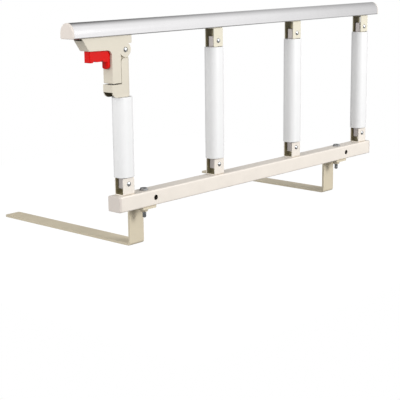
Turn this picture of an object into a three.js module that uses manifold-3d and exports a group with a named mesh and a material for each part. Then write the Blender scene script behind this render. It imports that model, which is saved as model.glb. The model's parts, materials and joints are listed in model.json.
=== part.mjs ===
// Folding bed guard rail. Four sleeved posts hinge between a base tube and a handrail, a squeeze latch
// under the handrail's left end holds them upright, and two bent arms go under a mattress.
// Millimetres. +X runs along the handrail, to the right seen from outside the bed, +Y goes to the bed, +Z up.
// The part is built with the first post's pins on X = 0, the base tube's centre on Y = 0 and the arms'
// underside on Z = 0, and the last lines move it so that its origin is the middle of its box, at the bottom.
import * as THREE from "three";
import { mergeVertices } from "three/addons/utils/BufferGeometryUtils.js";
import Module from "manifold-3d";

const wasm = await Module();
wasm.setup();

// Fits that every piece shares
const overrun = 5; // how far a cutting shape runs past what it cuts
const seatGap = 0.1; // between faces that are fastened together
const fitGap = 0.3; // all round a pin, plug or core in its hole
const passGap = 0.8; // between faces that pass each other as the rail folds

// Fineness of round shapes
const arcStep = Math.PI / 8;
const roundSides = 12;
const bevelSteps = 1;

// The parallelogram
const postCount = 4;
const postPitch = 257;
const pivotSpan = 250; // bottom pin to top pin of a post
const footPinHeight = 21.5; // bottom pins above the base tube
const railAbovePin = 26; // handrail's underside above the top pins

// Base tube and its end caps
const tubeWidth = 33; // along Y
const tubeHeight = 30;
const tubeWall = 1.5;
const tubeCorner = 3;
const tubeLeftOverhang = 28; // left end, cap included, to the first pin
const tubeRightOverhang = 27; // last pin to the right end, cap included
const tubeCapPlate = 4;
const tubeCapEdge = 1.3;
const tubePlugDepth = 12;
const tubePlugWall = 2;
const sideHole = 10.5; // holes through the front and back walls, beside the arm bolts
const sideHoleFromBolt = 16.7;

// Support arms: one flat bar each, bent twice
const armWidth = 38;
const armThickness = 4.5;
const armBend = 1.5; // inside radius of both bends
const armDrop = 81; // arm's underside to the tube's underside
const armStandoff = 5; // drop plate's front face behind the tube's back
const armReach = 387.5; // drop plate's front face to the arm's far end
const armCorner = 4;
const armHole = 4.5;
const armHolePitch = 22;
const armHoleInset = 18;
const leftArmBolt = 50.5; // first pin to the left arm's bolt
const rightArmBolt = 87; // right arm's bolt to the last pin

// Arm bolts and their welded flange nuts
const boltDiameter = 8;
const boltLength = 53.5;
const boltHeadAcross = 13;
const boltHeadHeight = 4.4;
const boltFlange = 17;
const boltFlangeHeight = 1.6;
const boltDish = 1.2; // hollow in the top of the head
const boltDishDiameter = 9.5;
const nutAcross = 13;
const nutHeight = 7;
const nutFlange = 17;
const nutFlangeHeight = 1.8;

// Pivot rivets, alike at every hinge
const rivetDiameter = 6;
const rivetHead = 9.6;
const rivetHeadHeight = 2.6;

// Foot and top brackets, folded from sheet
const bracketWidth = 23.5;
const bracketSheet = 2;
const bracketFold = 3; // outside radius of the folds
const footBracketLeft = 13.8; // these six are measured from the pin
const footBracketRight = 14.8;
const footBracketTop = 11.2;
const topBracketLeft = 13.4;
const topBracketRight = 13.8;
const topBracketBottom = 11.9;
const bracketCorner = 2; // of the ears

// Post cores, an extrusion with a screw boss in the middle
const coreWidth = 20; // along X
const coreDepth = 15.5;
const coreCorner = 4;
const coreWall = 1.7;
const coreBoss = 7;
const coreBossHole = 3.6;
const coreWeb = 1.7;
const coreEnd = 8.5; // past the pin

// Post sleeves, thin moulded tubes with an inner wall near each end that fits round the core
const sleeveWidth = 38; // along X
const sleeveDepth = 33;
const sleeveCorner = 14.5;
const sleeveWall = 1.6;
const sleeveInnerWall = 3;
const sleeveEdge = 1;
const sleeveFromPin = 12.5;

// Handrail and its end caps
const railLeftOverhang = 129.5; // left end, cap included, to the first pin
const railRightOverhang = 49.5; // last pin to the right end, cap included
const railWidth = 33.5;
const railHeight = 28;
const railSide = 9; // height of the upright part of its sides
const railWall = 1.8;
const railCorner = 2.5;
const railCapPlate = 3.5;
const railCapEdge = 1.2;
const railPlugDepth = 14;
const railPlugWall = 2;

// Screws that hold the brackets and the latch housing to the handrail
const screwDiameter = 4;
const screwLength = 10;
const screwHead = 8;
const screwHeadFlat = 4; // diameter of the flat on top of the head
const screwHeadHeight = 2.4;
const screwHeadRim = 0.8; // upright edge of the head

// Latch housing, placed from the first post's top pin
const housingWidth = 24.5;
const cheekWall = 4;
const housingWeb = 3; // against the handrail
const noseTop = 105.3; // left of the pin
const noseBottom = 88.8;
const noseWall = 3.5;
const noseGap = 4.2; // between the sloped end wall and the handrail
const noseCheek = 2.2; // cheeks' thickness beside that gap
const undersideLeft = 2.4; // above the pin, at the nose
const undersideRight = 1; // above the pin, at the leg
const gripCorner = 10; // between the underside and the leg
const legLeft = 34; // left of the pin
const legRight = 11.8;
const legBottom = 60; // below the pin
const legWall = 3;
const legEdge = 2;
const legFloor = 5; // guides the lock bolt
const lobeRadius = 13.8;
const housingRight = 16.3; // right of the pin
const flangeUnderside = 11.3; // underside of its right end, above the pin
const flangeCorner = 1.5;
const housingScrewLeft = 62; // left of the pin
const housingScrewRight = 4;

// Head casting on top of the first post, placed from its top pin
const headLeft = 11.2; // left of the pin
const headRight = 11.8;
const headTop = 15.4; // below the pin
const headTopCorner = 7;
const headBottom = 86; // below the pin
const headSideCorner = 8;
const footLeft = 35.5; // left of the pin
const footTop = 62; // below the pin
const footRound = 12.5;
const footEdge = 1.5;
const footHollow = 10; // height of the hollow under the foot
const footWall = 2.6; // beside the hollow
const knuckleRadius = 11;
const knuckleWidth = 15.7;
const corePocketTop = 18; // below the pin
const strikeThickness = 3;
const strikeSide = 17;
const strikeHole = 9;
const strikeCorner = 1.5;
const boltWell = 12; // depth of the hollow under the strike plate

// Trigger and lock bolt
const triggerWidth = 15.5;
const triggerLeft = 84.3; // left of the pin
const triggerRight = 35.2;
const triggerFront = 19; // underside of the finger grip below the pin
const triggerTail = 33.3; // underside of the tail below the pin
const triggerTailLeft = 41; // left of the pin
const tailSlope = 3.4; // how much further left the tail's root is
const tailRound = 2.8; // of the tip seen from the front
const tailTip = 6; // of the tip seen from the left
const tailFinger = 7.4; // of the tail's upright edges, for the finger
const grooveDepth = 3.8;
const grooveRidge = 1; // ridge between the grooves, above the grip's underside
const grooveWidth = 8.5;
const grooveInset = 11.3; // grip's left end to the first finger groove
const groovePitch = 19;
const triggerEdge = 2;
const barBottom = 4.2; // slide bar above the pin
const barTop = 9;
const barRight = 15; // left of the pin
const lockBoltDiameter = 7;
const lockBoltFromPin = 22.5;
const lockHead = 10;
const lockHeadHeight = 2;

// Trigger spring
const springWire = 0.9;
const springCoil = 7.6; // middle diameter
const springTurns = 3;
const springStepsPerTurn = 10;
const springSides = 5;

// Heights and places that follow
const tubeBottom = armDrop;
const tubeTop = tubeBottom + tubeHeight;
const tubeMiddle = tubeBottom + tubeHeight / 2;
const footPinZ = tubeTop + footPinHeight;
const topPinZ = footPinZ + pivotSpan;
const railBottom = topPinZ + railAbovePin;
const railTop = railBottom + railHeight;
const lastPinX = (postCount - 1) * postPitch;
const tubeLeft = -tubeLeftOverhang;
const tubeRight = lastPinX + tubeRightOverhang;
const railLeft = -railLeftOverhang;
const railRight = lastPinX + railRightOverhang;
const plateFront = tubeWidth / 2 + armStandoff;
const armEnd = plateFront + armReach;
const frontReach = Math.max(railWidth, sleeveDepth) / 2;
const swingDepth = Math.max(footBracketTop, topBracketBottom) - bracketCorner;
const swingSide = Math.max(footBracketLeft, topBracketRight) - bracketCorner;
const bracketSwing = Math.hypot(swingSide, swingDepth) + bracketCorner; // corners' reach from the pin
const postX = Array.from({ length: postCount }, (_, i) => i * postPitch);
const boltX = [leftArmBolt, lastPinX - rightArmBolt];

// Finishes
function finish(color, roughness, metalness) {
  return () => new THREE.MeshStandardMaterial({ color, roughness, metalness });
}
const ivoryPaint = finish(0xe9e1d7, 0.42, 0.05);
const castingPaint = finish(0xe6e0d0, 0.42, 0.05);
const armPaint = finish(0xcdc3b2, 0.5, 0.05);
const creamPaint = finish(0xece6d2, 0.42, 0.05);
const ivoryPlastic = finish(0xe2dad2, 0.5, 0);
const whitePlastic = finish(0xf4f4f4, 0.35, 0);
const redPlastic = finish(0xd6201c, 0.35, 0);
const satinAluminium = finish(0xd9d8d8, 0.32, 0.9);
const millAluminium = finish(0xaaa5a3, 0.45, 0.9);
const brightSteel = finish(0xb9bbbd, 0.25, 1);
const springSteel = finish(0x8f9194, 0.3, 1);

// A closed outline through corners [x, y, radius], each one rounded by its radius.
function outline(corners) {
  const points = [];
  corners.forEach(([x, y, radius = 0], i) => {
    const corner = new THREE.Vector2(x, y);
    if (!radius) {
      points.push(corner);
      return;
    }
    const before = corners[(i + corners.length - 1) % corners.length];
    const after = corners[(i + 1) % corners.length];
    const toBefore = new THREE.Vector2(before[0], before[1]).sub(corner).normalize();
    const toAfter = new THREE.Vector2(after[0], after[1]).sub(corner).normalize();
    const half = Math.acos(toBefore.dot(toAfter)) / 2;
    const inward = toBefore.clone().add(toAfter).normalize();
    const centre = corner.clone().addScaledVector(inward, radius / Math.sin(half));
    const start = corner.clone().addScaledVector(toBefore, radius / Math.tan(half));
    const end = corner.clone().addScaledVector(toAfter, radius / Math.tan(half));
    points.push(...arc(centre, start, end));
  });
  return new THREE.Shape(points);
}

// Points on the shorter arc round a centre, from start to end.
function arc(centre, start, end) {
  const from = start.clone().sub(centre);
  const to = end.clone().sub(centre);
  const turn = Math.atan2(from.cross(to), from.dot(to));
  const steps = Math.max(1, Math.ceil(Math.abs(turn) / arcStep));
  return Array.from({ length: steps + 1 }, (_, k) => {
    return from.clone().rotateAround(new THREE.Vector2(), (turn * k) / steps).add(centre);
  });
}

// A rectangle centred on the origin with round corners.
function roundedRectangle(width, height, radius) {
  const x = width / 2;
  const y = height / 2;
  return outline([[-x, -y, radius], [x, -y, radius], [x, y, radius], [-x, y, radius]]);
}

function circle(x, y, radius) {
  const points = Array.from({ length: roundSides }, (_, k) => {
    const angle = (2 * Math.PI * k) / roundSides;
    return new THREE.Vector2(x + radius * Math.cos(angle), y + radius * Math.sin(angle));
  });
  return new THREE.Shape(points);
}

// The handrail's outline in Y and Z: flat underside, upright sides and an arched top,
// taken in all round by inset.
function railOutline(inset) {
  const half = railWidth / 2 - inset;
  const spring = railBottom + railSide;
  const rise = railHeight - railSide - inset;
  const corner = Math.max(railCorner - inset, 0);
  const steps = Math.ceil(Math.PI / arcStep);
  const arch = Array.from({ length: steps + 1 }, (_, k) => {
    const angle = (Math.PI * k) / steps;
    return [half * Math.cos(angle), spring + rise * Math.sin(angle)];
  });
  return outline([[-half, railBottom + inset, corner], [half, railBottom + inset, corner], ...arch]);
}

// A closed geometry as a solid that can be cut and joined.
function solid(geometry) {
  const bare = geometry.clone();
  bare.deleteAttribute("normal");
  bare.deleteAttribute("uv");
  const merged = mergeVertices(bare, 1e-4);
  const vertProperties = merged.attributes.position.array;
  const triVerts = new Uint32Array(merged.index.array);
  return new wasm.Manifold(new wasm.Mesh({ numProp: 3, vertProperties, triVerts }));
}

// Axes of an extrusion: where the outline's x, its y and its depth point.
const axes = {
  x: [new THREE.Vector3(0, 1, 0), new THREE.Vector3(0, 0, 1), new THREE.Vector3(1, 0, 0)],
  y: [new THREE.Vector3(1, 0, 0), new THREE.Vector3(0, 0, 1), new THREE.Vector3(0, -1, 0)],
  z: [new THREE.Vector3(1, 0, 0), new THREE.Vector3(0, 1, 0), new THREE.Vector3(0, 0, 1)],
};

// An outline run along an axis from one place to another, with its end edges eased if edge is given.
// Along x the outline is in Y and Z, along y in X and Z, along z in X and Y.
function run(axis, shape, from, to, edge = 0) {
  const geometry = new THREE.ExtrudeGeometry(shape, {
    depth: to - from - 2 * edge,
    bevelEnabled: edge > 0,
    bevelThickness: edge,
    bevelSize: edge,
    bevelOffset: -edge,
    bevelSegments: bevelSteps,
  });
  geometry.translate(0, 0, axis === "y" ? edge - to : from + edge);
  geometry.applyMatrix4(new THREE.Matrix4().makeBasis(...axes[axis]));
  return solid(geometry);
}

function block(x0, x1, y0, y1, z0, z1) {
  const geometry = new THREE.BoxGeometry(x1 - x0, y1 - y0, z1 - z0);
  geometry.translate((x0 + x1) / 2, (y0 + y1) / 2, (z0 + z1) / 2);
  return solid(geometry);
}

// A profile of [radius, distance] turned about a line along y or z that passes through the point [x, y or z].
function turned(axis, profile, [a, b]) {
  const points = profile.map(([radius, along]) => new THREE.Vector2(radius, along));
  const geometry = new THREE.LatheGeometry(points, roundSides);
  if (axis === "z") geometry.rotateX(Math.PI / 2).translate(a, b, 0);
  else geometry.translate(a, 0, b);
  return solid(geometry);
}

// A hexagonal prism along z.
function hexagon(across, x, y, from, to) {
  const radius = across / Math.sqrt(3);
  const points = Array.from({ length: 6 }, (_, k) => {
    const angle = (Math.PI * k) / 3;
    return new THREE.Vector2(x + radius * Math.cos(angle), y + radius * Math.sin(angle));
  });
  return run("z", new THREE.Shape(points), from, to);
}

const model = new THREE.Group();

function add(name, made, makeMaterial) {
  const mesh = made.getMesh();
  const geometry = new THREE.BufferGeometry();
  geometry.setAttribute("position", new THREE.BufferAttribute(mesh.vertProperties, mesh.numProp));
  geometry.setIndex(new THREE.BufferAttribute(mesh.triVerts, 1));
  geometry.computeVertexNormals();
  const piece = new THREE.Mesh(geometry, makeMaterial());
  piece.name = name;
  model.add(piece);
}

// A domed rivet along Y through a hinge, formed over at its far end.
function pivotRivet(x, z) {
  const seat = bracketWidth / 2 + seatGap;
  const head = rivetHead / 2;
  const dome = (turn) => [head * Math.cos(turn), seat + rivetHeadHeight * Math.sin(turn)];
  const near = [dome(0), dome(arcStep), dome(2 * arcStep), [0, seat + rivetHeadHeight]];
  const far = near.map(([radius, along]) => [radius, -along]).reverse();
  return turned("y", [...far, [rivetDiameter / 2, -seat], [rivetDiameter / 2, seat], ...near], [x, z]);
}

function rivetHole(x, z) {
  return run("y", circle(x, z, rivetDiameter / 2 + fitGap), -bracketWidth, bracketWidth);
}

// Base tube with the arm bolts' holes from top to bottom and the side holes from front to back.
function baseTube() {
  const from = tubeLeft + tubeCapPlate + seatGap;
  const to = tubeRight - tubeCapPlate - seatGap;
  const outer = roundedRectangle(tubeWidth, tubeHeight, tubeCorner);
  const inner = roundedRectangle(tubeWidth - 2 * tubeWall, tubeHeight - 2 * tubeWall, tubeCorner - tubeWall);
  let tube = run("x", outer, from, to).subtract(run("x", inner, from - overrun, to + overrun));
  tube = tube.translate([0, 0, tubeMiddle]);
  const reach = tubeWidth / 2 + overrun;
  boltX.forEach((x) => {
    const boltHole = circle(x, 0, boltDiameter / 2 + fitGap);
    const side = circle(x + sideHoleFromBolt, tubeMiddle, sideHole / 2);
    tube = tube.subtract(run("z", boltHole, tubeBottom - overrun, tubeTop + overrun));
    tube = tube.subtract(run("y", side, -reach, reach));
  });
  return tube;
}

// End cap of the base tube: an eased plate with a hollow plug, made for the left end.
function baseCap() {
  const plateEnd = tubeLeft + tubeCapPlate;
  const plugEnd = plateEnd + tubePlugDepth;
  const plugInset = 2 * (tubeWall + fitGap);
  const hollowInset = plugInset + 2 * tubePlugWall;
  const plugCorner = tubeCorner - tubeWall;
  const plate = roundedRectangle(tubeWidth, tubeHeight, tubeCorner);
  const plug = roundedRectangle(tubeWidth - plugInset, tubeHeight - plugInset, plugCorner);
  const hollow = roundedRectangle(tubeWidth - hollowInset, tubeHeight - hollowInset, plugCorner);
  const past = tubeWidth + tubeHeight;
  return run("x", plate, tubeLeft, plateEnd + tubeCapEdge, tubeCapEdge)
    .subtract(block(plateEnd, plateEnd + overrun, -past, past, -past, past))
    .add(run("x", plug, plateEnd - tubeCapEdge, plugEnd))
    .subtract(run("x", hollow, plateEnd, plugEnd + overrun))
    .translate([0, 0, tubeMiddle]);
}

// A cap for the left end turned round into one for the right end.
function mirrored(made, left, right) {
  return made.mirror([1, 0, 0]).translate([left + right, 0, 0]);
}

// Support arm: flange under the tube, drop plate behind it and the arm under the mattress.
function supportArm(x) {
  const outerBend = armBend + armThickness;
  const flangeTop = tubeBottom - seatGap;
  const flangeBottom = flangeTop - armThickness;
  const plateBack = plateFront + armThickness;
  const side = outline([
    [-tubeWidth / 2, flangeBottom],
    [plateFront, flangeBottom, armBend],
    [plateFront, 0, outerBend],
    [armEnd, 0],
    [armEnd, armThickness],
    [plateBack, armThickness, armBend],
    [plateBack, flangeTop, outerBend],
    [-tubeWidth / 2, flangeTop],
  ]);
  const half = armWidth / 2;
  const front = -tubeWidth / 2;
  const plan = outline([
    [x - half, front, armCorner], [x + half, front, armCorner], [x + half, armEnd, armCorner],
    [x - half, armEnd, armCorner],
  ]);
  let arm = run("x", side, x - half, x + half).intersect(run("z", plan, -overrun, tubeTop));
  [-1, 1].forEach((hand) => {
    const hole = circle(x + (hand * armHolePitch) / 2, armEnd - armHoleInset, armHole / 2);
    arm = arm.subtract(run("z", hole, -overrun, armThickness + overrun));
  });
  const boltHole = circle(x, 0, boltDiameter / 2 + fitGap);
  return arm.subtract(run("z", boltHole, flangeBottom - overrun, tubeBottom + overrun));
}

// Arm bolt: dished hexagon head on a washer flange, standing on the tube's top.
function armBolt(x) {
  const seat = tubeTop + seatGap;
  const shank = boltDiameter / 2;
  const hexTop = seat + boltHeadHeight;
  const flangeRim = boltFlange / 2;
  const body = turned("z", [
    [0, tubeTop - boltLength],
    [shank - boltFlangeHeight / 2, tubeTop - boltLength],
    [shank, tubeTop - boltLength + boltFlangeHeight / 2],
    [shank, seat],
    [flangeRim, seat],
    [flangeRim, seat + boltFlangeHeight / 2],
    [boltHeadAcross / 2, seat + boltFlangeHeight],
    [0, seat + boltFlangeHeight],
  ], [x, 0]);
  const dish = turned("z", [
    [0, hexTop - boltDish],
    [boltDishDiameter / 2, hexTop],
    [boltDishDiameter / 2, hexTop + overrun],
    [0, hexTop + overrun],
  ], [x, 0]);
  return body.add(hexagon(boltHeadAcross, x, 0, seat + boltFlangeHeight / 2, hexTop)).subtract(dish);
}

// Flange nut welded under the arm's flange.
function armNut(x) {
  const top = tubeBottom - armThickness - 2 * seatGap;
  const flange = turned("z", [
    [0, top - nutFlangeHeight],
    [nutAcross / 2, top - nutFlangeHeight],
    [nutFlange / 2, top - nutFlangeHeight / 2],
    [nutFlange / 2, top],
    [0, top],
  ], [x, 0]);
  const bore = run("z", circle(x, 0, boltDiameter / 2 + fitGap), top - nutHeight - overrun, top + overrun);
  return flange.add(hexagon(nutAcross, x, 0, top - nutHeight, top - nutFlangeHeight / 2)).subtract(bore);
}

// U section of a folded bracket in Y and Z, its web on z = web and its ears reaching to z = ears.
function channel(web, ears) {
  const half = bracketWidth / 2;
  const inside = half - bracketSheet;
  const webInside = web + Math.sign(ears - web) * bracketSheet;
  const fold = bracketFold;
  const inner = bracketFold - bracketSheet;
  return outline([
    [-half, ears], [-half, web, fold], [half, web, fold], [half, ears],
    [inside, ears], [inside, webInside, inner], [-inside, webInside, inner], [-inside, ears],
  ]);
}

// Foot bracket, welded on the base tube.
function footBracket(x) {
  const web = tubeTop + seatGap;
  const ears = footPinZ + footBracketTop;
  const left = x - footBracketLeft;
  const right = x + footBracketRight;
  const side = outline([
    [left, web], [right, web], [right, ears, bracketCorner], [left, ears, bracketCorner],
  ]);
  return run("x", channel(web, ears + overrun), left - overrun, right + overrun)
    .intersect(run("y", side, -bracketWidth, bracketWidth))
    .subtract(rivetHole(x, footPinZ));
}

// Top bracket, screwed under the handrail.
function topBracket(x) {
  const web = railBottom - seatGap;
  const ears = topPinZ - topBracketBottom;
  const left = x - topBracketLeft;
  const right = x + topBracketRight;
  const side = outline([
    [left, web], [left, ears, bracketCorner], [right, ears, bracketCorner], [right, web],
  ]);
  return run("x", channel(web, ears - overrun), left - overrun, right + overrun)
    .intersect(run("y", side, -bracketWidth, bracketWidth))
    .subtract(rivetHole(x, topPinZ))
    .subtract(screwHole(x, web - bracketSheet));
}

// Screw driven up into the handrail's underside, with its head under a web whose lower face is at z.
function railScrew(x, z) {
  const head = z - seatGap;
  const shank = screwDiameter / 2;
  return turned("z", [
    [0, head - screwHeadHeight],
    [screwHeadFlat / 2, head - screwHeadHeight],
    [screwHead / 2, head - screwHeadRim],
    [screwHead / 2, head],
    [shank, head],
    [shank, head + screwLength - shank],
    [0, head + screwLength],
  ], [x, 0]);
}

function screwHole(x, z) {
  return run("z", circle(x, 0, screwDiameter / 2 + fitGap), z - overrun, railBottom + railWall + overrun);
}

// Post core from z to z, with its rivet holes.
function postCore(x, from, to, pins) {
  const outer = roundedRectangle(coreWidth, coreDepth, coreCorner);
  const inner = roundedRectangle(coreWidth - 2 * coreWall, coreDepth - 2 * coreWall, coreCorner - coreWall);
  const web = roundedRectangle(coreWeb, coreDepth - coreWall, 0);
  const cavity = run("z", inner, from - overrun, to + overrun)
    .subtract(run("z", web, from - 2 * overrun, to + 2 * overrun))
    .subtract(run("z", circle(0, 0, coreBoss / 2), from - 2 * overrun, to + 2 * overrun))
    .add(run("z", circle(0, 0, coreBossHole / 2), from - overrun, to + overrun));
  let core = run("z", outer, from, to).subtract(cavity).translate([x, 0, 0]);
  pins.forEach((z) => {
    core = core.subtract(rivetHole(x, z));
  });
  return core;
}

// Post sleeve from z to z: a thin tube with two inner walls that fit round the core. An end is open down
// to its wall by the depth given for it, which leaves room for the bracket's ears as the post folds.
function postSleeve(x, from, to, openLow, openHigh) {
  const outer = roundedRectangle(sleeveWidth, sleeveDepth, sleeveCorner);
  const hollow = roundedRectangle(
    sleeveWidth - 2 * sleeveWall, sleeveDepth - 2 * sleeveWall, sleeveCorner - sleeveWall);
  const bore = roundedRectangle(coreWidth + 2 * fitGap, coreDepth + 2 * fitGap, coreCorner + fitGap);
  const low = from + openLow;
  const high = to - openHigh;
  let sleeve = run("z", outer, from, to, sleeveEdge)
    .subtract(run("z", hollow, low + sleeveInnerWall, high - sleeveInnerWall))
    .subtract(run("z", bore, from - overrun, to + overrun));
  if (openLow) sleeve = sleeve.subtract(run("z", hollow, from - overrun, low));
  if (openHigh) sleeve = sleeve.subtract(run("z", hollow, high, to + overrun));
  return sleeve.translate([x, 0, 0]);
}

// Handrail extrusion with the screws' holes in its underside.
function railTube() {
  const from = railLeft + railCapPlate + seatGap;
  const to = railRight - railCapPlate - seatGap;
  let rail = run("x", railOutline(0), from, to)
    .subtract(run("x", railOutline(railWall), from - overrun, to + overrun));
  railScrewX().forEach((x) => {
    rail = rail.subtract(screwHole(x, railBottom));
  });
  return rail;
}

function railScrewX() {
  return [-housingScrewLeft, housingScrewRight, ...postX.slice(1)];
}

// End cap of the handrail, made for the left end.
function railCap() {
  const plateEnd = railLeft + railCapPlate;
  const plugEnd = plateEnd + railPlugDepth;
  const hollow = railWall + fitGap + railPlugWall;
  const past = 2 * railWidth;
  return run("x", railOutline(0), railLeft, plateEnd + railCapEdge, railCapEdge)
    .subtract(block(plateEnd, plateEnd + overrun, -past, past, railBottom - past, railTop + past))
    .add(run("x", railOutline(railWall + fitGap), plateEnd - railCapEdge, plugEnd))
    .subtract(run("x", railOutline(hollow), plateEnd, plugEnd + overrun));
}

// Latch housing: two cheeks joined by a web under the handrail, a sloped nose wall,
// the leg's wall and its floor.
function latchHousing() {
  const top = railBottom - seatGap;
  const bottom = topPinZ - legBottom;
  const underLeft = topPinZ + undersideLeft;
  const underRight = topPinZ + undersideRight;
  const half = housingWidth / 2;
  const inside = half - cheekWall;
  const noseRise = top - underLeft;
  const slope = (noseTop - noseBottom) / noseRise;
  const pin = new THREE.Vector2(0, topPinZ);
  const lobeTop = new THREE.Vector2(
    Math.sqrt(lobeRadius ** 2 - flangeUnderside ** 2), topPinZ + flangeUnderside);
  const lobeLeft = new THREE.Vector2(
    -legRight, topPinZ - Math.sqrt(lobeRadius ** 2 - legRight ** 2));
  const lobeRight = new THREE.Vector2(lobeRadius, topPinZ);
  const lobeBottom = new THREE.Vector2(0, topPinZ - lobeRadius);
  const lobe = [
    ...arc(pin, lobeTop, lobeRight),
    ...arc(pin, lobeRight, lobeBottom).slice(1),
    ...arc(pin, lobeBottom, lobeLeft).slice(1),
  ];
  const profile = outline([
    [-noseTop, top],
    [-noseBottom, underLeft, legEdge / 2],
    [-legLeft, underRight, gripCorner],
    [-legLeft, bottom, legEdge],
    [-legRight, bottom],
    ...lobe.map((point) => [point.x, point.y]).reverse(),
    [housingRight, topPinZ + flangeUnderside, flangeCorner],
    [housingRight, top],
  ]);
  const inner = outline([
    [-noseTop + noseWall + slope * housingWeb, top - housingWeb],
    [-noseBottom + noseWall + slope * gripCorner, underLeft - gripCorner],
    [-legLeft + legWall, underLeft - gripCorner],
    [-legLeft + legWall, bottom + legFloor],
    [-legRight + overrun, bottom + legFloor],
    [-legRight + overrun, topPinZ - lobeRadius - overrun],
    [housingRight + overrun, topPinZ - lobeRadius - overrun],
    [housingRight + overrun, top - housingWeb],
  ]);
  const mouth = outline([
    [-noseTop - overrun, top - noseGap],
    [-noseTop + noseWall + noseGap + slope * overrun, top - noseGap],
    [-noseTop + noseWall + noseGap + slope * overrun, top + overrun],
    [-noseTop - overrun, top + overrun],
  ]);
  const boltHole = circle(-lockBoltFromPin, 0, lockBoltDiameter / 2 + fitGap);
  const rivetSeat = circle(0, topPinZ, rivetHead / 2 + passGap);
  return run("y", profile, -half, half, footEdge / 2)
    .subtract(run("y", inner, -inside, inside))
    .subtract(run("y", mouth, noseCheek - half, half - noseCheek))
    .subtract(run("z", boltHole, bottom - overrun, bottom + legFloor + overrun))
    .subtract(rivetHole(0, topPinZ))
    .subtract(run("y", rivetSeat, bracketWidth / 2, housingWidth))
    .subtract(run("y", rivetSeat, -housingWidth, -bracketWidth / 2))
    .subtract(screwHole(-housingScrewLeft, top - housingWeb))
    .subtract(screwHole(housingScrewRight, top - housingWeb));
}

// Head casting of the first post: knuckle between the housing's cheeks, column round the core
// and latch foot.
function postHead() {
  const half = housingWidth / 2;
  const columnTop = topPinZ - headTop;
  const bottom = topPinZ - headBottom;
  const ledge = topPinZ - footTop;
  const columnPlan = outline([
    [-headLeft, -half], [headRight, -half, headSideCorner], [headRight, half, headSideCorner],
    [-headLeft, half],
  ]);
  const columnSide = outline([
    [-headLeft, bottom], [headRight, bottom], [headRight, columnTop, footEdge],
    [-headLeft, columnTop, headTopCorner],
  ]);
  const footSide = outline([
    [-footLeft, ledge, footEdge], [-footLeft, bottom, footRound], [-headLeft + overrun, bottom],
    [-headLeft + overrun, ledge],
  ]);
  const pin = new THREE.Vector2(0, topPinZ);
  const knuckleTop = new THREE.Vector2(0, topPinZ + knuckleRadius);
  const knuckle = new THREE.Shape([
    ...arc(pin, new THREE.Vector2(knuckleRadius, topPinZ), knuckleTop),
    ...arc(pin, knuckleTop, new THREE.Vector2(-knuckleRadius, topPinZ)).slice(1),
    new THREE.Vector2(-knuckleRadius, columnTop - headTopCorner),
    new THREE.Vector2(knuckleRadius, columnTop - headTopCorner),
  ]);
  const pocket = roundedRectangle(coreWidth + 2 * fitGap, coreDepth + 2 * fitGap, coreCorner + fitGap);
  const strikeX = -lockBoltFromPin;
  const seatHalf = strikeSide / 2 + fitGap;
  const seat = outline([
    [strikeX - seatHalf, -seatHalf, strikeCorner], [strikeX + seatHalf, -seatHalf, strikeCorner],
    [strikeX + seatHalf, seatHalf, strikeCorner], [strikeX - seatHalf, seatHalf, strikeCorner],
  ]);
  const well = circle(strikeX, 0, strikeHole / 2);
  const hollow = block(
    -footLeft - overrun, -headLeft - footWall, footWall - half, half - footWall, bottom - overrun,
    bottom + footHollow);
  return run("z", columnPlan, bottom - overrun, columnTop + overrun)
    .intersect(run("y", columnSide, -housingWidth, housingWidth))
    .add(run("y", footSide, -half, half, footEdge / 2))
    .add(run("y", knuckle, -knuckleWidth / 2, knuckleWidth / 2))
    .subtract(run("z", pocket, bottom - overrun, topPinZ - corePocketTop))
    .subtract(run("z", seat, ledge - strikeThickness - seatGap, ledge + overrun))
    .subtract(run("z", well, ledge - boltWell, ledge))
    .subtract(hollow)
    .subtract(rivetHole(0, topPinZ));
}

// Hardened plate let into the latch foot, which the lock bolt enters.
function strikePlate() {
  const top = topPinZ - footTop;
  const x = -lockBoltFromPin;
  const half = strikeSide / 2;
  const plate = outline([
    [x - half, -half, strikeCorner], [x + half, -half, strikeCorner], [x + half, half, strikeCorner],
    [x - half, half, strikeCorner],
  ]);
  return run("z", plate, top - strikeThickness, top)
    .subtract(run("z", circle(x, 0, strikeHole / 2), top - strikeThickness - overrun, top + overrun));
}

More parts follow.
